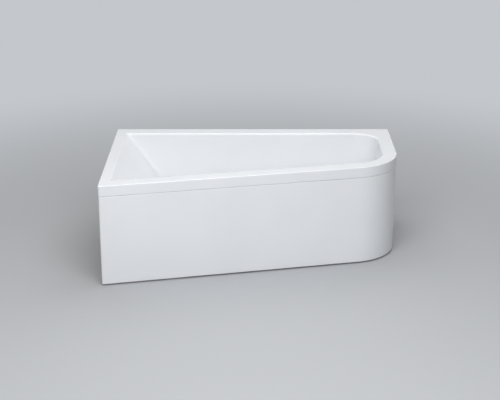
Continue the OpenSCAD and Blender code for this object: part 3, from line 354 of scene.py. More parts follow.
acrylic, shader, place = new_material("sanitary_acrylic", IOR=ACRYLIC_IOR)
cloud = add_node(place, NOISE, {"Scale": per(TINT_MM), "Detail": 2}, {"Vector": place})
tint = add_node(cloud, RAMP, {"stops": ((0.3, "#DEE0E3"), (0.7, "#E2E4E7"))}, {"Fac": cloud})
wiped = add_node(place, NOISE, {"Scale": per(WIPE_MM), "Detail": 4}, {"Vector": place})
gloss = add_node(wiped, RANGE, {"To Min": 0.13, "To Max": 0.2}, {"Value": wiped})
drawn = add_node(place, NOISE, {"Scale": per(WAVE_MM), "Detail": 1}, {"Vector": place})
wave = add_node(drawn, RELIEF, {"Strength": 0.05, "Distance": 0.0006}, {"Height": drawn})
drive(shader, Base_Color=tint, Roughness=gloss, Normal=wave)

# %% [markdown]
# ### Glass-fibre backing
# The back of the acrylic is stiffened with polyester resin and chopped glass strands, rolled on by
# hand. It is matt to waxy, cream-white, and the strands lie in it every way as fine pale lines.

# %% Glass-fibre backing
STRAND_MM, STRETCH, LUMP_MM = 9, 7, 34

fibre, shader, place = new_material("glass_fibre_backing", IOR=1.54)
webs = []
for turn, scale in (((0.3, 0.2, 0.5), (1, STRETCH, 1)), ((0.1, 0.5, 2.1), (STRETCH, 1, 2))):
    settings = {"Rotation": turn, "Scale": scale}
    strands = add_node(place, "ShaderNodeMapping", settings, {"Vector": place})
    settings = {"Scale": per(STRAND_MM * STRETCH), "Detail": 5, "Distortion": 0.4}
    webs.append(add_node(strands, NOISE, settings, {"Vector": strands}))
web = add_node(place, MATH, {"operation": "MAXIMUM"}, {0: webs[0], 1: webs[1]})
settings = {"stops": ((0.42, "#D8D3C4"), (0.6, "#E5E1D5"), (0.72, "#F0EDE6"))}
cream = add_node(web, RAMP, settings, {"Fac": web})
resin = add_node(web, RANGE, {"To Min": 0.6, "To Max": 0.35}, {"Value": web})
lumps = add_node(place, NOISE, {"Scale": per(LUMP_MM), "Detail": 3}, {"Vector": place})
bumps = add_node(web, MATH, {"operation": "ADD"}, {0: web, 1: lumps})
rough = add_node(bumps, RELIEF, {"Strength": 0.5, "Distance": 0.0015}, {"Height": bumps})
drive(shader, Base_Color=cream, Roughness=resin, Normal=rough)

# %% [markdown]
# ## The bath itself
# The real shell is one sheet, so it is one skin here: from the lip's lower edge over the rim, down
# into the basin, across the floor to the waste hole, and back on the underside, one sheet's
# thickness away. Rings stand close together where the surface turns.

# %% Rings of the shell
LIP_EDGE, CUT_EDGE = 0.004, 0.0008
RECESS_R, RECESS_Z, RECESS_EDGE, HOLE_R = 0.037, 0.170, 0.0006, 0.026


def level(points, z):
    """An outline lifted to a height."""
    return [Vector((p.x, p.y, z)) for p in points]


def between(low, high, shares):
    """Rings part of the way from one ring to another."""
    return [[a.lerp(b, share) for a, b in zip(low, high)] for share in shares]


def edge_rings(distance, z, radius, start, end, steps):
    """Rings of a rounded edge whose outline has that inset, between two angles from level."""
    rings = []
    for j in range(steps + 1):
        angle = radians(start + (end - start) * j / steps)
        ring = rim_outline(distance + radius * (1 - cos(angle)))
        rings.append(level(ring, z + radius * sin(angle)))
    return rings


def basin_drops(depth):
    """Drops at which the basin is sectioned: close together in the roll and in the fillet."""
    high = max(roll_drop(HEAD_ROLL, BACK_SLOPE), roll_drop(WALL_ROLL, SIDE_SLOPE))
    low = max(roll_drop(HEAD_FILLET, BACK_SLOPE), roll_drop(FLOOR_FILLET, SIDE_SLOPE))
    roll = [high * (1 - cos(radians(a))) for a in range(0, 91, 5)]
    wall = [high + (depth - high - low) * k / 9 for k in range(1, 9)]
    return roll + wall + [depth - low * (1 - sin(radians(a))) for a in range(0, 91, 5)]


def round_waste(ring, radius, z):
    """A circle round the waste whose points lie towards those of the ring."""
    towards = [(Vector((p.x, p.y)) - WASTE).normalized() for p in ring]
    return level([WASTE + radius * t for t in towards], z)


inner_depth = INNER_DEPTH - FLOOR_FALL
lip_rings = edge_rings(0, LIP_LOW + CUT_EDGE, CUT_EDGE, -90, 0, 2)
lip_top = edge_rings(0, HEIGHT - LIP_EDGE, LIP_EDGE, 0, 90, 8)
lip_side = between(lip_rings[-1], lip_top[0], (0.05, 0.35, 0.65, 0.95))
inner = [level(basin_outline(d, inner_depth, 0), HEIGHT - d) for d in basin_drops(inner_depth)]
flat = between(lip_top[-1], inner[0], (0.04, 0.3, 0.6, 0.9, 0.985))
low_z = HEIGHT - INNER_DEPTH
recess = round_waste(inner[-1], RECESS_R, low_z + RECESS_EDGE)
floor = between(inner[-1], recess, (0.03, 0.2, 0.4, 0.6, 0.8, 0.97)) + [recess]
floor += [round_waste(inner[-1], RECESS_R - RECESS_EDGE, z) for z in (low_z, RECESS_Z)]
floor += [round_waste(inner[-1], HOLE_R, z) for z in (RECESS_Z, FLOOR_UNDER)]
face_rings = lip_rings + lip_side + lip_top + flat + inner + floor
drops = reversed(basin_drops(INNER_DEPTH))
outer = [level(basin_outline(d, INNER_DEPTH, SHELL), HEIGHT - SHELL - d) for d in drops]
under = between(floor[-1], outer[0], (0.2, 0.6, 0.97))
lip_in, lip_end = [level(rim_outline(SHELL), z) for z in (HEIGHT - SHELL, LIP_LOW)]
rim_under = between(outer[-1], lip_in, (0.03, 0.5, 0.97))
back_rings = under + outer + rim_under + [lip_in]
back_rings += between(lip_in, lip_end, (0.05, 0.5, 0.95)) + [lip_end]
print("rings on the face:", len(face_rings), "on the back:", len(back_rings))

# %% [markdown]
# One extrusion runs through all the rings and closes on itself. The rings of the face take the
# acrylic, and those of the back the glass fibre.

# %% The shell
shell, ring_of_face = extrude_rings(face_rings + back_rings + [face_rings[0]], closed_loop=True)
shell.data.materials.append(acrylic)
shell.data.materials.append(fibre)
for face, number in zip(shell.data.polygons, ring_of_face):
    face.material_index = int(number >= len(face_rings))

# %% [markdown]
# The overflow's hole is drilled square to the sloping front wall. A cylinder with that slope cuts
# it in a Boolean, which is clean here, because the wall is flat.

# %% The overflow's hole
OVERFLOW_HOLE_R, CUTTER_LENGTH = 0.027, 0.04
to_front = (WASTE.y - front_y(WASTE.x)) * cos(FRONT_ANGLE)
wall_in = wall_inset(OVERFLOW_DROP, SIDE_SLOPE, WALL_ROLL, FLOOR_FILLET, inner_depth)
overflow_out = to_front - FRONT_FLAT - wall_in
AT_WASTE = Matrix.Translation((WASTE.x, WASTE.y, 0)) @ Matrix.Rotation(FRONT_ANGLE, 4, "Z")
AT_OVERFLOW = AT_WASTE @ Matrix.Translation((0, -overflow_out, HEIGHT - OVERFLOW_DROP))
AT_OVERFLOW = AT_OVERFLOW @ Matrix.Rotation(SIDE_SLOPE - radians(90), 4, "X")

hole = {"location": AT_OVERFLOW.translation, "rotation": AT_OVERFLOW.to_euler()}
hole |= {"radius": OVERFLOW_HOLE_R, "depth": CUTTER_LENGTH, "vertices": 64}
bpy.ops.mesh.primitive_cylinder_add(**hole)
cutter = bpy.context.object
apply_modifier(shell, "BOOLEAN", operation="DIFFERENCE", object=cutter, solver="EXACT")
bpy.data.objects.remove(cutter)
ACRYLIC = ("acrylic", acrylic)
finish_piece(shell, "bath_moulding", "bath", ACRYLIC, "bath_shell", smooth_degrees=32)
print("overflow at", [round(c, 4) for c in AT_OVERFLOW.translation])

# %% [markdown]
# ## Apron panel
# The panel is drawn from the same sheet as the bath. Its top, foot and ends are turned in, which
# stiffens it and gives it soft edges, and its back has glass fibre too. It is one bent rectangle,
# so a grid suits it: columns are moved along the outline and rows up the section.

# %% The panel's sheet
PANEL = 0.004
PANEL_SET, PANEL_GAP, PANEL_FOOT, PANEL_RETURN = 0.0012, 0.0015, 0.009, 0.022
PANEL_EDGE = 0.003
PANEL_TOP = LIP_LOW - PANEL_GAP
PANEL_STEPS = ((8, 64, 6, 2), (24, 10, 60, 60))


def panel_path(distance):
    """The panel's outline at a depth behind its face, with a return at each end."""
    arcs, sides = PANEL_STEPS
    run = rim_outline(PANEL_SET + distance, PANEL_STEPS)[:sum(arcs[:3]) + sum(sides[:2]) + 3]
    head_end = FRONT + PANEL_SET + PANEL_RETURN
    wall_end = RIGHT - PANEL_SET - PANEL_RETURN
    start = Vector((run[0].x, max(head_end, run[0].y + SHARP_R)))
    end = Vector((min(wall_end, run[-1].x - SHARP_R), run[-1].y))
    return [start, start.lerp(run[0], 0.5)] + run + [run[-1].lerp(end, 0.5), end]


tall = PANEL_TOP - PANEL_FOOT
quarter = [radians(a) for a in range(0, 91, 15)]
low = [(PANEL_RETURN, 0.0), (PANEL_EDGE + 0.001, 0.0)]
low += [(PANEL_EDGE * (1 - sin(t)), PANEL_EDGE * (1 - cos(t))) for t in quarter]
shares = (0.02, 0.25, 0.5, 0.75, 0.98)
section = low + [(0.0, PANEL_EDGE + (tall - 2 * PANEL_EDGE) * f) for f in shares]
section += [(depth, tall - z) for depth, z in reversed(low)]
columns = [panel_path(distance) for distance, _ in section]
width, rows = len(columns[0]), len(section)
bpy.ops.mesh.primitive_grid_add(x_subdivisions=width - 1, y_subdivisions=rows - 1)
panel = bpy.context.object
for number, vertex in enumerate(panel.data.vertices):
    row, column = divmod(number, width)
    p = columns[row][column]
    vertex.co = (p.x, p.y, PANEL_FOOT + section[row][1])
print("panel grid:", width, "by", rows, "points")

# %% [markdown]
# A Solidify modifier gives the sheet its thickness away from the face that is seen, so that face
# stays where the CAD has it. The inner side takes the second material.

# %% The panel's thickness
recalculate_normals(panel)
panel.data.materials.append(acrylic)
panel.data.materials.append(fibre)
middle = min(panel.data.polygons, key=lambda f: (f.center - Vector((0, front_y(0), 0.3))).length)
settings = {"offset": 1 if middle.normal.y > 0 else -1, "use_even_offset": True}
apply_modifier(panel, "SOLIDIFY", thickness=PANEL, material_offset=1, **settings)
recalculate_normals(panel)
finish_piece(panel, "apron_moulding", "bath", ACRYLIC, "apron_panel", smooth_degrees=32)

# %% [markdown]
# ## Turned pieces
# Most fittings are round. Each is made as on a lathe: a circle is extruded through its half
# section, listed as radius and height. Every corner is softened a little, because a moulded or
# polished edge is never sharp, and its small highlight makes it look real.

# %% Lathe helpers
MM = 0.001
TOWARDS_Y = Matrix.Rotation(radians(-90), 4, "X")
AWAY_FROM_Y = Matrix.Rotation(radians(90), 4, "X")
TOWARDS_X = Matrix.Rotation(radians(90), 4, "Y")
SOFT_STEPS, SOFT_SHARE = 4, 0.45
WIDE_SIDES, SMALL_SIDES, THIN_SIDES = 96, 48, 40


def moved(at, z, x=0, y=0):
    """A place moved along its own axes, in millimetres."""
    return at @ Matrix.Translation((x * MM, y * MM, z * MM))


def softened(section, radius):
    """A section in millimetres with each corner off the axis rounded to about that radius."""
    result = []
    for k, point in enumerate(section):
        here = Vector(point)
        before, after = Vector(section[k - 1]), Vector(section[(k + 1) % len(section)])
        if here.x == 0:
            result.append(here)
            continue
        a = here.lerp(before, min(SOFT_SHARE, radius / (before - here).length))
        b = here.lerp(after, min(SOFT_SHARE, radius / (after - here).length))
        for j in range(SOFT_STEPS + 1):
            t = j / SOFT_STEPS
            result.append(a.lerp(here, t).lerp(here.lerp(b, t), t))
    return result


def turned(section, at, radius=0.5, sides=72):
    """A closed solid turned from a section in millimetres, with its corners softened."""
    points = softened(section, radius)
    if section[0][0] != 0:
        points.append(points[0])
    angles = [2 * pi * j / sides for j in range(sides)]
    circle = [(cos(t), sin(t)) for t in angles]
    rings = [[at @ Vector((r * u * MM, r * v * MM, z * MM)) for u, v in circle] for r, z in points]
    return extrude_rings(rings, closed_loop=True)[0]


def bar(low, high, at, edge=0.4, segments=2):
    """A block between two corners in millimetres, with bevelled edges."""
    centre = [(a + b) / 2 * MM for a, b in zip(low, high)]
    bpy.ops.mesh.primitive_cube_add(size=1, location=centre)
    obj = bpy.context.object
    obj.scale = [(b - a) * MM for a, b in zip(low, high)]
    bpy.ops.object.transform_apply()
    bpy.ops.object.mode_set(mode="EDIT")
    bpy.ops.mesh.select_all(action="SELECT")
    bpy.ops.mesh.bevel(offset=edge * MM, segments=segments)
    bpy.ops.object.mode_set(mode="OBJECT")
    obj.data.transform(at)
    return obj


def copied(obj, turn):
    """A copy of a piece with its own mesh, turned."""
    other = obj.copy()
    other.data = obj.data.copy()
    scene.collection.objects.link(other)
    other.data.transform(turn)
    return other


def around(count, at, first):
    """A piece and its copies, spaced evenly round an axis."""
    pieces = [first]
    for k in range(1, count):
        turn = Matrix.Rotation(2 * pi * k / count, 4, "Z")
        pieces.append(copied(first, at @ turn @ at.inverted()))
    return pieces


def joined(pieces):
    select_only(*pieces)
    bpy.ops.object.join()
    return bpy.context.object


def with_ribs(solid, count, low, high, at):
    """A turned piece with grip ribs round it."""
    return joined([solid] + around(count, at, bar(low, high, at, 0.7)))


# %% [markdown]
# ### Chrome plate
# Polished chrome on brass and plastic: nearly a mirror, faintly blue-grey. Hairlines from wiping
# only change the gloss.

# %% Chrome plate
HAIR_MM, HAIR_STRETCH = 1.5, 12

chrome, shader, place = new_material("chrome_plate", Base_Color="#D6D9DC", Metallic=1.0)
settings = {"Scale": (1, HAIR_STRETCH, 1)}
hairs = add_node(place, "ShaderNodeMapping", settings, {"Vector": place})
settings = {"Scale": per(HAIR_MM * HAIR_STRETCH), "Detail": 3}
wiped = add_node(hairs, NOISE, settings, {"Vector": hairs})
gloss = add_node(wiped, RANGE, {"To Min": 0.04, "To Max": 0.13}, {"Value": wiped})
drive(shader, Roughness=gloss)
CHROME = ("chrome", chrome)

# %% [markdown]
# ## Waste: flange and plug
# The flange is a thin turned ring with a conical seat, and the plug's cap has a faint dome.
# All sections are in millimetres, as on a drawing, from the flange's underside.

# %% Waste flange and plug cap
WASTE_Z = (HEIGHT - INNER_DEPTH) / MM
CAP_TOP, DOME, DOME_R = 5, 0.7, 23

flange_at = moved(AT_WASTE, RECESS_Z / MM)
ring = [(25, -26), (25, 0), (36, 0), (36, 1), (34.6, 2), (26.5, 2), (21, -4), (21, -26)]
waste_flange = turned(ring, flange_at, 0.5, WIDE_SIDES)
finish_piece(waste_flange, "waste_flange_turned", "bath", CHROME, "waste_flange")

cap_at = moved(AT_WASTE, WASTE_Z - 1)
dome = [(r, CAP_TOP - DOME * (r / DOME_R) ** 2) for r in (DOME_R, 19, 15, 11, 7, 3)]
cap = [(0, 0), (DOME_R, 0), (25, 0.4), (25, 2.9)] + dome + [(0, CAP_TOP)]
plug_cap = turned(cap, cap_at, 0.9, WIDE_SIDES)
finish_piece(plug_cap, "plug_cap_turned", "plug", CHROME, "plug_cap")

# %% [markdown]
# ## Overflow: flange and knob
# Turning the knob lifts the plug. It is a flat chrome disc with a raised grip bar across it, and
# stands off its flange so that the water can run in behind it.

# %% Overflow flange
ring = [(26, -14), (26, 0), (34, 0), (34, 1.8), (32.6, 3), (22, 3), (22, -14)]
overflow_ring = turned(ring, AT_OVERFLOW, 0.5, WIDE_SIDES)
hub = turned([(8, -8), (8, 2), (4.05, 2), (4.05, -8)], AT_OVERFLOW, 0.4, SMALL_SIDES)
arm_at = AT_OVERFLOW @ Matrix.Rotation(radians(60), 4, "Z")
arms = around(3, AT_OVERFLOW, bar((6, -1.5, -8), (23, 1.5, 2), arm_at))
overflow_flange = joined([overflow_ring, hub] + arms)
finish_piece(overflow_flange, "overflow_flange_turned", "bath", CHROME, "overflow_flange")

# %% [markdown]
# The disc is turned as a shallow cup with a soft edge, and a boss takes the spindle. The grip is a
# bevelled block that is let into the disc.

# %% Overflow knob
KNOB_GAP, KNOB_SIDES = 6, 128

knob_at = moved(AT_OVERFLOW, KNOB_GAP)
cup = [(0, 5), (31, 5), (31, 0), (35, 0), (35, 10), (0, 10)]
knob_disc = turned(cup, knob_at, 2.4, KNOB_SIDES)
knob_boss = turned([(0, 0), (8, 0), (8, 6), (0, 6)], knob_at, 0.5, SMALL_SIDES)
grip = bar((-5.8, -30.4, 8), (5.8, 30.4, 14), knob_at, 1.8, 4)
overflow_knob = joined([knob_disc, knob_boss, grip])
finish_piece(overflow_knob, "overflow_knob_turned", "knob", CHROME, "overflow_knob")

# %% [markdown]
# ### Moulded plastics
# The waste body, the trap and the outlet pipe are white polypropylene: waxy, with a fine spark
# texture from the mould. The nuts are a dark grey, and the pads are black, with a coarser texture.

# %% Moulded plastics
SPARK_MM, FLOW_MM = 0.9, 40


def moulded_plastic(name, pale, dark, roughness, depth_mm):
    """A moulded plastic: a faint flow mark in its colour and a spark-eroded texture."""
    material, shader, place = new_material(name, IOR=1.49)
    cloud = add_node(place, NOISE, {"Scale": per(FLOW_MM), "Detail": 3}, {"Vector": place})
    flow = add_node(cloud, RAMP, {"stops": ((0.35, dark), (0.65, pale))}, {"Fac": cloud})
    spark = add_node(place, NOISE, {"Scale": per(SPARK_MM), "Detail": 2}, {"Vector": place})
    settings = {"To Min": roughness - 0.06, "To Max": roughness + 0.08}
    gloss = add_node(spark, RANGE, settings, {"Value": spark})
    settings = {"Strength": 0.25, "Distance": depth_mm * MM}
    grain = add_node(spark, RELIEF, settings, {"Height": spark})
    drive(shader, Base_Color=flow, Roughness=gloss, Normal=grain)
    return material


WHITE = ("white_plastic", moulded_plastic("white_polypropylene", "#E9E8E3", "#E2E1DA", 0.38, 0.12))
HOSE = ("hose_plastic", moulded_plastic("hose_polypropylene", "#D8D8D3", "#CFCFC9", 0.42, 0.1))
GREY = ("grey_plastic", moulded_plastic("grey_polypropylene", "#4A4D50", "#43464A", 0.45, 0.15))
PAD = ("pad_plastic", moulded_plastic("black_polypropylene", "#26272A", "#1E1F21", 0.5, 0.25))
orange_acetal = moulded_plastic("orange_acetal", "#D9741F", "#CE6B19", 0.35, 0.08)
epdm_rubber = moulded_plastic("epdm_rubber", "#1D1D1E", "#161617", 0.7, 0.3)

# %% [markdown]
# ## Waste body and trap
# These hang under the basin's floor and are only seen from below or behind. The body is turned
# hollow, with ribs under its flange, a spigot for the hose and a gland for the cable. The trap is
# a bottle with a screwed cup.

# %% Waste body
SEAL, BODY_TALL, BODY_TAIL = 3, 56, 14
SPIGOT_Z, SPIGOT_END = 21, 62
LEVER_Z, CRANK, LEAN = 10, 16, radians(15)
GLAND_Z = LEVER_Z + CRANK * cos(LEAN)

BODY_LOW = WASTE_Z - SHELL / MM - SEAL - BODY_TALL
body_at = moved(AT_WASTE, BODY_LOW)
hollow = [(19, -BODY_TAIL), (23, -BODY_TAIL), (23, 0), (30, 0), (30, 51), (40, 51)]
hollow += [(40, BODY_TALL), (25.05, BODY_TALL), (25.05, 5), (19, 5)]
body = turned(hollow, body_at, 0.7)
rib_at = body_at @ Matrix.Rotation(radians(22.5), 4, "Z")
body_ribs = around(8, body_at, bar((28, -1.5, 39), (39, 1.5, 51.5), rib_at))
pipe = [(15, 26), (15, SPIGOT_END), (12.5, SPIGOT_END), (12.5, 26)]
spigot = turned(pipe, moved(body_at, SPIGOT_Z) @ AWAY_FROM_Y, 0.6, SMALL_SIDES)
pipe = [(8, 26), (8, 40), (3.3, 40), (3.3, 26)]
gland = turned(pipe, moved(body_at, GLAND_Z) @ TOWARDS_X, 0.6, THIN_SIDES)
waste_body = joined([body, spigot, gland] + body_ribs)
finish_piece(waste_body, "waste_body_moulded", "bath", WHITE, "waste_body")

# %% [markdown]
# The head is one turned section whose tube dips into the cup, with a socket towards the wall. The
# cup is turned too, and has ribs for the hand that unscrews it.

# %% Trap head and cup
WASHER, SEAT, OUTLET_DOWN, CUP_Z = 3, 5, 18, 12

TRAP_TOP = BODY_LOW - BODY_TAIL - WASHER - SEAT
trap_top_at = moved(AT_WASTE, TRAP_TOP)
outlet_at = moved(AT_WASTE, TRAP_TOP - OUTLET_DOWN) @ TOWARDS_Y
hollow = [(39, -56), (42, -56), (42, 0), (27, 0), (27, 14), (23.05, 14), (23.05, SEAT)]
hollow += [(19, SEAT), (19, -64), (22, -64), (22, -3), (39, -3)]
bottle = turned(hollow, trap_top_at, 0.9, WIDE_SIDES)
socket = turned([(20.3, 38), (23.5, 38), (23.5, 80), (20.3, 80)], outlet_at, 0.5)
finish_piece(joined([bottle, socket]), "trap_head_moulded", "bath", WHITE, "trap_head")

cup_at = moved(AT_WASTE, CUP_Z)
cup = [(0, 0), (46, 0), (46, 26), (42.05, 26), (42.05, 3), (0, 3)]
trap_cup = turned(cup, cup_at, 1.6, WIDE_SIDES)
trap_cup = with_ribs(trap_cup, 16, (45, -1.5, 1.5), (48, 1.5, 24), cup_at)
finish_piece(trap_cup, "trap_cup_moulded", "bath", WHITE, "trap_cup")

# %% [markdown]
# Both nuts are a turned ring with an inner lip and twelve grip ribs. The pipe slides into the
# trap's socket and ends a little short of the wall.

# %% Nuts and outlet pipe
NUT_RIBS, SMALL_NUT_END, PIPE_SHORT = 12, 84, 15

nut_at = moved(AT_WASTE, TRAP_TOP + 1)
ring = [(27.05, 0), (32, 0), (32, 18), (23.05, 18), (23.05, 16), (27.05, 16)]
nut = with_ribs(turned(ring, nut_at, 0.8), NUT_RIBS, (31, -1.5, 0.6), (34, 1.5, 15.5), nut_at)
finish_piece(nut, "trap_nut_moulded", "bath", GREY, "trap_nut")

small_at = moved(outlet_at, SMALL_NUT_END) @ Matrix.Rotation(radians(180), 4, "X")
ring = [(23.55, 20), (27.5, 20), (27.5, 0), (19.85, 0), (19.85, 4), (23.55, 4)]
nut = with_ribs(turned(ring, small_at, 0.8), NUT_RIBS, (26.5, -1.5, 1), (29.5, 1.5, 18), small_at)
finish_piece(nut, "outlet_nut_moulded", "bath", GREY, "outlet_nut")

pipe_end = (WASTE_BACK / MM - PIPE_SHORT) / cos(FRONT_ANGLE)
pipe = [(19.8, 46), (19.8, 84), (21.5, 84), (21.5, 87), (20, 87)]
pipe += [(20, pipe_end), (18.2, pipe_end), (18.2, 46)]
outlet_pipe = turned(pipe, outlet_at, 0.5, WIDE_SIDES)
finish_piece(outlet_pipe, "outlet_pipe_drawn", "bath", WHITE, "outlet_pipe")

# %% [markdown]
# Behind the wall, a drum-shaped body holds the cable's drum. A spigot leads down to the hose, and
# a gland to the cable.

# %% Overflow body
OV_SPIGOT_DEEP, OV_SPIGOT_END = 40, 60
DRUM_DEEP, DRUM_ROOT = 34, 5

hollow = [(38, -12), (38, -8), (26.05, -8), (26.05, -56), (4.05, -56), (4.05, -64)]
hollow += [(8, -64), (8, -60), (31, -60), (31, -12)]
ov_body = turned(hollow, AT_OVERFLOW, 0.8, WIDE_SIDES)
pipe = [(15, 26), (15, OV_SPIGOT_END), (12.5, OV_SPIGOT_END), (12.5, 26)]
ov_spigot = turned(pipe, moved(AT_OVERFLOW, -OV_SPIGOT_DEEP) @ TOWARDS_Y, 0.6, SMALL_SIDES)
pipe = [(6, 26), (6, 44), (3.3, 44), (3.3, 26)]
gland_at = moved(AT_OVERFLOW, -DRUM_DEEP, 0, DRUM_ROOT) @ TOWARDS_X
ov_gland = turned(pipe, gland_at, 0.5, THIN_SIDES)
overflow_body = joined([ov_body, ov_spigot, ov_gland])
finish_piece(overflow_body, "overflow_body_moulded", "bath", WHITE, "overflow_body")

# %% [markdown]
# ## Overflow hose
# A corrugated tube that runs down behind the front wall, round a bend and level to the waste. It
# has full, round ribs and a plain cuff at each end. An Array along a Curve would stretch the ribs
# in the bend, so each ring is placed by its formula.

# %% Overflow hose
HOSE_SIDES, RIB_STEPS, RIB_PITCH, INSIDE_STEPS = 32, 8, 0.008, 24
BEND, CUFF, CUFF_SLOPE, PUSH = 0.085, 0.024, 0.002, 0.018
CUFF_R, VALLEY_R, RIB_TALL, INSIDE_R, END_SOFT = 0.018, 0.016, 0.002, 0.0153, 0.0006

inlet_z = (BODY_LOW + SPIGOT_Z) * MM
cos_s, sin_s = cos(SIDE_SLOPE), sin(SIDE_SLOPE)
deep, start = OV_SPIGOT_DEEP * MM, OV_SPIGOT_END * MM - PUSH
hose_y = -overflow_out - deep * cos_s + start * sin_s
hose_z = HEIGHT - OVERFLOW_DROP - deep * sin_s - start * cos_s
down = (hose_z - inlet_z - BEND * (1 - sin_s)) / cos_s
bend_turn = radians(90) - SIDE_SLOPE
bend_length = BEND * bend_turn
level_y = hose_y + down * sin_s + BEND * cos_s
hose_length = down + bend_length - (SPIGOT_END * MM - PUSH) - level_y


def hose_ring(s, radius):
    """A ring of the hose at a distance along it."""
    bent = min(bend_length, max(0, s - down))
    heading, straight = bent / BEND - bend_turn, s - down - bent
    y = level_y + BEND * sin(heading) + straight * cos(heading)
    z = inlet_z + BEND * (1 - cos(heading)) + straight * sin(heading)
    ring = []
    for j in range(HOSE_SIDES):
        angle = 2 * pi * j / HOSE_SIDES
        u, v = radius * cos(angle), radius * sin(angle)
        ring.append(AT_WASTE @ Vector((u, y - v * sin(heading), z + v * cos(heading))))
    return ring


ribs = int((hose_length - 2 * CUFF) / RIB_PITCH)
step = (hose_length - 2 * CUFF) / ribs
cuff = [(0, CUFF_R - END_SOFT), (END_SOFT, CUFF_R), (CUFF - CUFF_SLOPE, CUFF_R)]
outside = [hose_ring(s, r) for s, r in cuff]
for k in range(ribs * RIB_STEPS + 1):
    wave = 0.5 + 0.5 * cos(2 * pi * k / RIB_STEPS)
    outside.append(hose_ring(CUFF + step * k / RIB_STEPS, VALLEY_R + RIB_TALL * wave ** 0.6))
outside += [hose_ring(hose_length - s, r) for s, r in reversed(cuff)]
shares = [1 - k / INSIDE_STEPS for k in range(INSIDE_STEPS + 1)]
inside = [hose_ring(hose_length * share, INSIDE_R) for share in shares]
hose, _ = extrude_rings(outside + inside + [outside[0]], closed_loop=True)
finish_piece(hose, "overflow_hose_ribbed", "bath", HOSE, "overflow_hose", smooth_degrees=50)
print("hose", round(hose_length, 3), "m,", ribs, "ribs")

# %% [markdown]
# ## Control cable
# A thin sheathed cable that the knob's drum pulls. It leaves the overflow along the front, turns
# down beside the hose and comes to the waste from the foot side, with a ferrule at each end.

# %% Control cable
CABLE_R, CABLE_SIDES, TURN_R, LOW_R, FERRULE = 0.003, 20, 0.045, 0.082, 0.0012
TURN_STEPS, LOW_STEPS = 14, 16

cable_x = 0.050 + TURN_R
gland_z = (BODY_LOW + GLAND_Z) * MM
drum_y, drum_deep = DRUM_ROOT * MM, DRUM_DEEP * MM


def beside_wall(x, y):
    """A place in the drum's plane, x to the side and y down the wall."""
    out = overflow_out - y * sin_s + drum_deep * cos_s
    return Vector((x, -out, HEIGHT - OVERFLOW_DROP - y * cos_s - drum_deep * sin_s))


def arc_angles(start, end, steps):
    return [start + (end - start) * k / steps for k in range(steps + 1)]


cable_down = (beside_wall(0, 0).z - gland_z - LOW_R * (1 - sin_s)) / cos_s
cable_y = beside_wall(0, cable_down).y + LOW_R * cos_s
route = [beside_wall(x, drum_y) for x in (0.034, 0.044, 0.048)]
for a in arc_angles(0, pi / 2, TURN_STEPS):
    x, y = cable_x - TURN_R * (1 - sin(a)), drum_y + TURN_R * (1 - cos(a))
    route.append(beside_wall(x, y))
for a in arc_angles(-bend_turn, 0, LOW_STEPS):
    y, z = cable_y + LOW_R * sin(a), gland_z + LOW_R * (1 - cos(a))
    route.append(Vector((cable_x, y, z)))
for a in arc_angles(0, pi / 2, TURN_STEPS):
    x, y = cable_x - TURN_R * (1 - cos(a)), TURN_R * (sin(a) - 1)
    route.append(Vector((x, y, gland_z)))
route += [Vector((x, 0, gland_z)) for x in (0.044, 0.040, 0.030)]
cable_rings = []
for k, spot in enumerate(route):
    along = (route[min(k + 1, len(route) - 1)] - route[max(k - 1, 0)]).normalized()
    across = along.cross(Vector((0.6, 0.3, 0.74))).normalized()
    up = across.cross(along)
    in_ferrule = k in (1, 2, len(route) - 3, len(route) - 2)
    r = CABLE_R + (FERRULE if in_ferrule else 0)
    angles = [2 * pi * j / CABLE_SIDES for j in range(CABLE_SIDES)]
    ring = [AT_WASTE @ (spot + r * (cos(a) * across + sin(a) * up)) for a in angles]
    cable_rings.append(ring)
cable, _ = extrude_rings(cable_rings)
finish_piece(cable, "control_cable_sheath", "bath", GREY, "control_cable", smooth_degrees=60)

# %% [markdown]
# ### Metals of the support
# The rails, clips, brackets and hooks are folded from galvanised strip, which shows the zinc's
# large soft crystals. The screws, nuts and studs have a thin bright zinc plate. The plug's stem,
# the spindle and the lever's pin are drawn stainless steel.

# %% Metals of the support
SPANGLE_MM, ZINC_MM, DRAWN_MM = 9, 2.5, 0.4

galvanised_steel, shader, place = new_material("galvanised_steel", Metallic=1.0)
spangle = add_node(place, CELLS, {"Scale": per(SPANGLE_MM)}, {"Vector": place})
crystal = add_node(spangle, SPLIT, {}, {"Color": spangle.outputs["Color"]}).outputs
settings = {"stops": ((0.0, "#A9AEB1"), (0.5, "#B9BDBF"), (1.0, "#C9CCCD"))}
shades = add_node(shader, RAMP, settings, {"Fac": crystal[0]})
gloss = add_node(shader, RANGE, {"To Min": 0.32, "To Max": 0.5}, {"Value": crystal[1]})
drive(shader, Base_Color=shades, Roughness=gloss)

zinc_plate, shader, place = new_material("bright_zinc_plate", Metallic=1.0)
cloud = add_node(place, NOISE, {"Scale": per(ZINC_MM), "Detail": 3}, {"Vector": place})
settings = {"stops": ((0.3, "#B8BDC4"), (0.55, "#C6C9CB"), (0.75, "#C9C7BA"))}
shades = add_node(cloud, RAMP, settings, {"Fac": cloud})
gloss = add_node(cloud, RANGE, {"To Min": 0.22, "To Max": 0.38}, {"Value": cloud})
drive(shader, Base_Color=shades, Roughness=gloss)

look = {"Base_Color": "#BDBCB8", "Metallic": 1.0}
stainless_steel, shader, place = new_material("drawn_stainless_steel", **look)
drawn = add_node(place, NOISE, {"Scale": per(DRAWN_MM), "Detail": 2}, {"Vector": place})
gloss = add_node(drawn, RANGE, {"To Min": 0.22, "To Max": 0.36}, {"Value": drawn})
drive(shader, Roughness=gloss)

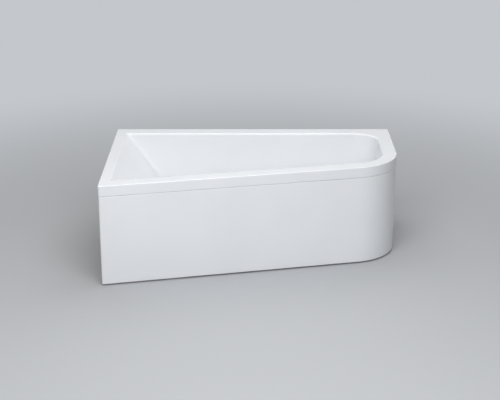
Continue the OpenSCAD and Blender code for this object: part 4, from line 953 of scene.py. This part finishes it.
# %% [markdown]
# ## Feet
# Each foot is a moulded pad with six ribs, in which an M12 stud turns. The thread is a real helix:
# a small triangle swept by a Screw modifier, one pitch up for each turn, round a plain core.

# %% Foot pad
PAD_X = [LEFT + at for at in (0.560, 0.880, 1.330)]
FOOT_IN = 0.110
RIB_FROM, RIB_LONG, RIB_FALL, BASE_UP = 0.010, 0.017, 0.018, 0.020

feet = []
for x in PAD_X:
    for y in (front_y(x) + FOOT_IN / cos(FRONT_ANGLE), BACK - FOOT_IN):
        feet.append(Vector((x, y, 0)))
here = Matrix.Identity(4)
base = [(0, 0), (28, 0), (30, 2), (30, 6), (28, 8), (14, 10), (12, 34), (10, 36)]
pad_body = turned(base + [(6.05, 36), (6.05, 10), (0, 10)], here, 0.7, WIDE_SIDES)
rib = bar((10, -1.5, 6), (27, 1.5, 28), here, 0.5)
for vertex in rib.data.vertices:
    if vertex.co.z > BASE_UP:
        vertex.co.z -= RIB_FALL * (vertex.co.x - RIB_FROM) / RIB_LONG
pad = joined([pad_body] + around(6, here, rib))

# %% [markdown]
# The thread's triangle overlaps the core by 0.1 mm, so that no slit shows. The collar is the
# hexagon that a spanner turns, and the key's socket is sunk in the top.

# %% Foot stud
PITCH, CREST_R, ROOT_R, CORE_R = 1.75, 5.98, 5.0, 5.1
BOARD, NUT_TALL, STUD_OVER, SOCKET_R, SOCKET_DEEP = 18, 10, 16.3, 2.9, 6
ACROSS_FLATS, COLLAR_TALL, COLLAR_Z = 19, 8, 40.3
THREAD_STEPS = 24

STUD_LOW = 10.3
STUD_TOP = WASTE_Z - SHELL / MM - BOARD + NUT_TALL + STUD_OVER
rod = [(0, STUD_LOW), (CORE_R, STUD_LOW), (CORE_R, STUD_TOP - 1), (4.4, STUD_TOP)]
rod += [(SOCKET_R, STUD_TOP), (SOCKET_R, STUD_TOP - SOCKET_DEEP), (0, STUD_TOP - SOCKET_DEEP)]
core = turned(rod, here, 0.3, THIN_SIDES)

bpy.ops.mesh.primitive_circle_add(vertices=3)
thread = bpy.context.object
triangle = [(ROOT_R, 0.0), (CREST_R, PITCH * 0.48), (ROOT_R, PITCH * 0.96)]
for vertex, (r, z) in zip(thread.data.vertices, triangle):
    vertex.co = (r * MM, 0, (STUD_LOW + z) * MM)
turns = int((STUD_TOP - STUD_LOW - 1) / PITCH)
apply_modifier(
    thread, "SCREW", angle=2 * pi, screw_offset=PITCH * MM, iterations=turns,
    steps=THREAD_STEPS, use_merge_vertices=True, merge_threshold=MERGE,
)
recalculate_normals(thread)

collar_r = ACROSS_FLATS / 2 / cos(radians(30)) * MM
bpy.ops.mesh.primitive_cylinder_add(
    vertices=6, radius=collar_r, depth=COLLAR_TALL * MM, location=(0, 0, COLLAR_Z * MM)
)
collar = bpy.context.object
apply_modifier(collar, "BEVEL", width=0.7 * MM, segments=3, limit_method="ANGLE")
stud = joined([core, thread, collar])
print("thread of", turns, "turns")

# %% [markdown]
# The feet are alike, so the pad and the stud are copied to six places and the patterns go. Each
# copy has its own mesh, because it rides on a body of its own.

# %% Six feet
ZINC = ("zinc_steel", zinc_plate)

for number, spot in enumerate(feet, 1):
    one_pad, one_stud = [copied(obj, Matrix.Translation(spot)) for obj in (pad, stud)]
    name = f"foot_pad_moulded_{number}"
    finish_piece(one_pad, name, f"pad_{number}", PAD, f"foot_pad_{number}")
    name = f"foot_stud_threaded_{number}"
    finish_piece(one_stud, name, f"stud_{number}", ZINC, f"foot_stud_{number}")
for spare in (pad, stud):
    bpy.data.objects.remove(spare)

# %% [markdown]
# ### Board and battens
# The base board and the panel's stiffeners are raw chipboard: pressed flakes of several tones with
# dark specks. The rim battens are planed softwood, with grain along their length.

# %% Chipboard
FLAKE_MM, SPECK_MM = 5, 1.6
COLOUR_A, COLOUR_B, COLOUR = 6, 7, 2

chipboard, shader, place = new_material("raw_chipboard", IOR=1.5)
flakes = add_node(place, CELLS, {"Scale": per(FLAKE_MM)}, {"Vector": place})
flake = add_node(flakes, SPLIT, {}, {"Color": flakes.outputs["Color"]}).outputs
settings = {"stops": ((0.0, "#A67F52"), (0.35, "#BC9666"), (0.7, "#CDAA7B"), (1.0, "#DBBD93"))}
wood = add_node(shader, RAMP, settings, {"Fac": flake[0]})
speck = add_node(place, NOISE, {"Scale": per(SPECK_MM), "Detail": 2}, {"Vector": place})
mask = add_node(speck, RANGE, {"From Min": 0.62, "From Max": 0.7}, {"Value": speck})
settings = {"data_type": "RGBA", COLOUR_B: linear("#7C5B38")}
mix = add_node(wood, "ShaderNodeMix", settings, {0: mask, COLOUR_A: wood})
rough = add_node(shader, RANGE, {"To Min": 0.62, "To Max": 0.85}, {"Value": flake[1]})
bump = add_node(speck, RELIEF, {"Strength": 0.4, "Distance": 0.0005}, {"Height": speck})
drive(shader, Base_Color=mix.outputs[COLOUR], Roughness=rough, Normal=bump)

# %% [markdown]
# A batten runs along each side of the rim, and its grain along it. A Wave texture gives the bands,
# and its Distortion makes them wander as year rings do.

# %% Softwood
GRAIN_MM = 7


def softwood(name, turn):
    """Planed softwood with its grain along X, turned about Z."""
    material, shader, place = new_material(name, IOR=1.5)
    settings = {"Rotation": (0, 0, -turn), "Scale": (0.06, 1, 1)}
    along = add_node(place, "ShaderNodeMapping", settings, {"Vector": place})
    settings = {"wave_type": "BANDS", "bands_direction": "DIAGONAL"}
    settings |= {"Scale": per(GRAIN_MM) / (2 * pi), "Distortion": 3}
    settings |= {"Detail": 3, "Detail Scale": 1.4}
    wave = add_node(along, "ShaderNodeTexWave", settings, {"Vector": along})
    grain = wave.outputs["Fac"]
    settings = {"stops": ((0.2, "#D9B98A"), (0.7, "#CDA56F"), (0.95, "#B4854F"))}
    shades = add_node(wave, RAMP, settings, {"Fac": grain})
    gloss = add_node(wave, RANGE, {"To Min": 0.5, "To Max": 0.7}, {"Value": grain})
    drive(shader, Base_Color=shades, Roughness=gloss)
    return material


turns = {"back": 0, "head": radians(90), "front": FRONT_ANGLE, "foot": radians(90)}
battens = {softwood(f"softwood_{end}", turns[end]): [f"rim_batten_{end}"] for end in turns}

# %% [markdown]
# ## Finishes of the pieces that stay as they are
# Flat, folded and hidden pieces keep their CAD solid. Each gets the finish of its real material.

# %% Finishes for CAD pieces
kept = {
    chipboard: ["base_board", "panel_stiffeners"],
    galvanised_steel: [
        "leg_rail_head", "leg_rail_middle", "leg_rail_foot", "panel_clips", "panel_brackets",
        "wall_hooks",
    ],
    zinc_plate: [
        "rail_screws", "captive_nuts", "lock_nuts", "panel_clip_screws", "panel_bracket_screws",
    ],
    epdm_rubber: ["waste_seal", "plug_seal", "overflow_seal", "trap_washer", "outlet_seal"],
    orange_acetal: ["lift_lever", "cable_drum"],
    stainless_steel: ["plug_stem", "lever_pin", "knob_spindle"],
    **battens,
}
for material, names in kept.items():
    for name in names:
        mesh = bpy.data.objects[name].data
        mesh.materials.clear()
        mesh.materials.append(material)
print("finished CAD pieces:", sum(len(names) for names in kept.values()))

# %% [markdown]
# ## Floor and light
# A plain pale floor, as in a studio. It is see-through from below, so that the underside can be
# seen too. Far from the bath it fades into the backdrop, for the camera and for the rays off
# gloss and through glass, and so no horizon shows.

# %% Floor
FLOOR_HALF, FLOOR_DOWN = 30, 0.0005
BACKDROP = "#C4C7CB"
FADE_FROM, FADE_TO = 0.9, 4.2


def backdrop_rays(near):
    """Is 1 for rays that see the backdrop: the camera's, and those off gloss or through glass."""
    ray = add_node(near, "ShaderNodeLightPath").outputs
    links = {0: ray["Is Camera Ray"], 1: ray["Is Glossy Ray"]}
    seen = add_node(near, MATH, {"operation": "MAXIMUM"}, links)
    links = {0: seen, 1: ray["Is Transmission Ray"]}
    return add_node(near, MATH, {"operation": "MAXIMUM"}, links)


paint, shader, place = new_material("studio_floor", Base_Color="#AEB0B3", Roughness=0.9)
away = add_node(place, "ShaderNodeVectorMath", {"operation": "LENGTH"}, {0: place})
settings = {"interpolation_type": "SMOOTHSTEP", "From Min": FADE_FROM, "From Max": FADE_TO}
far = add_node(away, RANGE, settings, {"Value": away.outputs["Value"]})
fade = add_node(far, MATH, {"operation": "MULTIPLY"}, {0: far, 1: backdrop_rays(far)})
sweep = add_node(shader, "ShaderNodeEmission", {"Color": linear(BACKDROP)})
from_below = add_node(shader, "ShaderNodeNewGeometry").outputs["Backfacing"]
clear = add_node(shader, "ShaderNodeBsdfTransparent")
above = add_node(shader, MIX_SHADER, {}, {0: fade, 1: shader, 2: sweep})
surface = add_node(shader, MIX_SHADER, {}, {0: from_below, 1: above, 2: clear})
drive(paint.node_tree.nodes["Material Output"], Surface=surface)

bpy.ops.mesh.primitive_plane_add(size=2 * FLOOR_HALF, location=(0, 0, -FLOOR_DOWN))
floor_plane = bpy.context.object
floor_plane.name = "studio_floor"
floor_plane.data.materials.append(paint)

# %% [markdown]
# The world gives a low even light, and the lamps stand high in front and over the bath: the panel
# darkens towards its foot, and the round corner turns into soft shade. They are very large, so
# their mirror images on the glossy rim stay faint.

# %% World and lamps
EVEN_LIGHT = 0.16

world = bpy.data.worlds.new("studio")
scene.world = world
world.use_nodes = True
even_light = world.node_tree.nodes["Background"]
even_light.inputs["Color"].default_value = linear("#FFFFFF")
even_light.inputs["Strength"].default_value = EVEN_LIGHT
settings = {"Color": linear(BACKDROP), "Strength": 1.0}
backdrop = add_node(even_light, "ShaderNodeBackground", settings)
links = {0: backdrop_rays(even_light), 1: even_light, 2: backdrop}
sky = add_node(even_light, MIX_SHADER, {}, links)
drive(world.node_tree.nodes["World Output"], Surface=sky)


def add_lamp(name, place, target, size, power):
    """A square soft lamp at a place, turned to a target."""
    data = bpy.data.lights.new(name, "AREA")
    data.size = size
    data.energy = power
    lamp = bpy.data.objects.new(name, data)
    scene.collection.objects.link(lamp)
    lamp.location = place
    lamp.rotation_euler = (Vector(target) - Vector(place)).to_track_quat("-Z", "Y").to_euler()
    print(name, size, "m,", power, "W")


add_lamp("key_lamp", (0.0, -2.9, 3.0), (0, 0, 0.3), 3.8, 160)
add_lamp("top_lamp", (0.1, 1.4, 4.2), (0.0, 0.2, 0.3), 4.6, 104)
scene.view_settings.view_transform = "Standard"
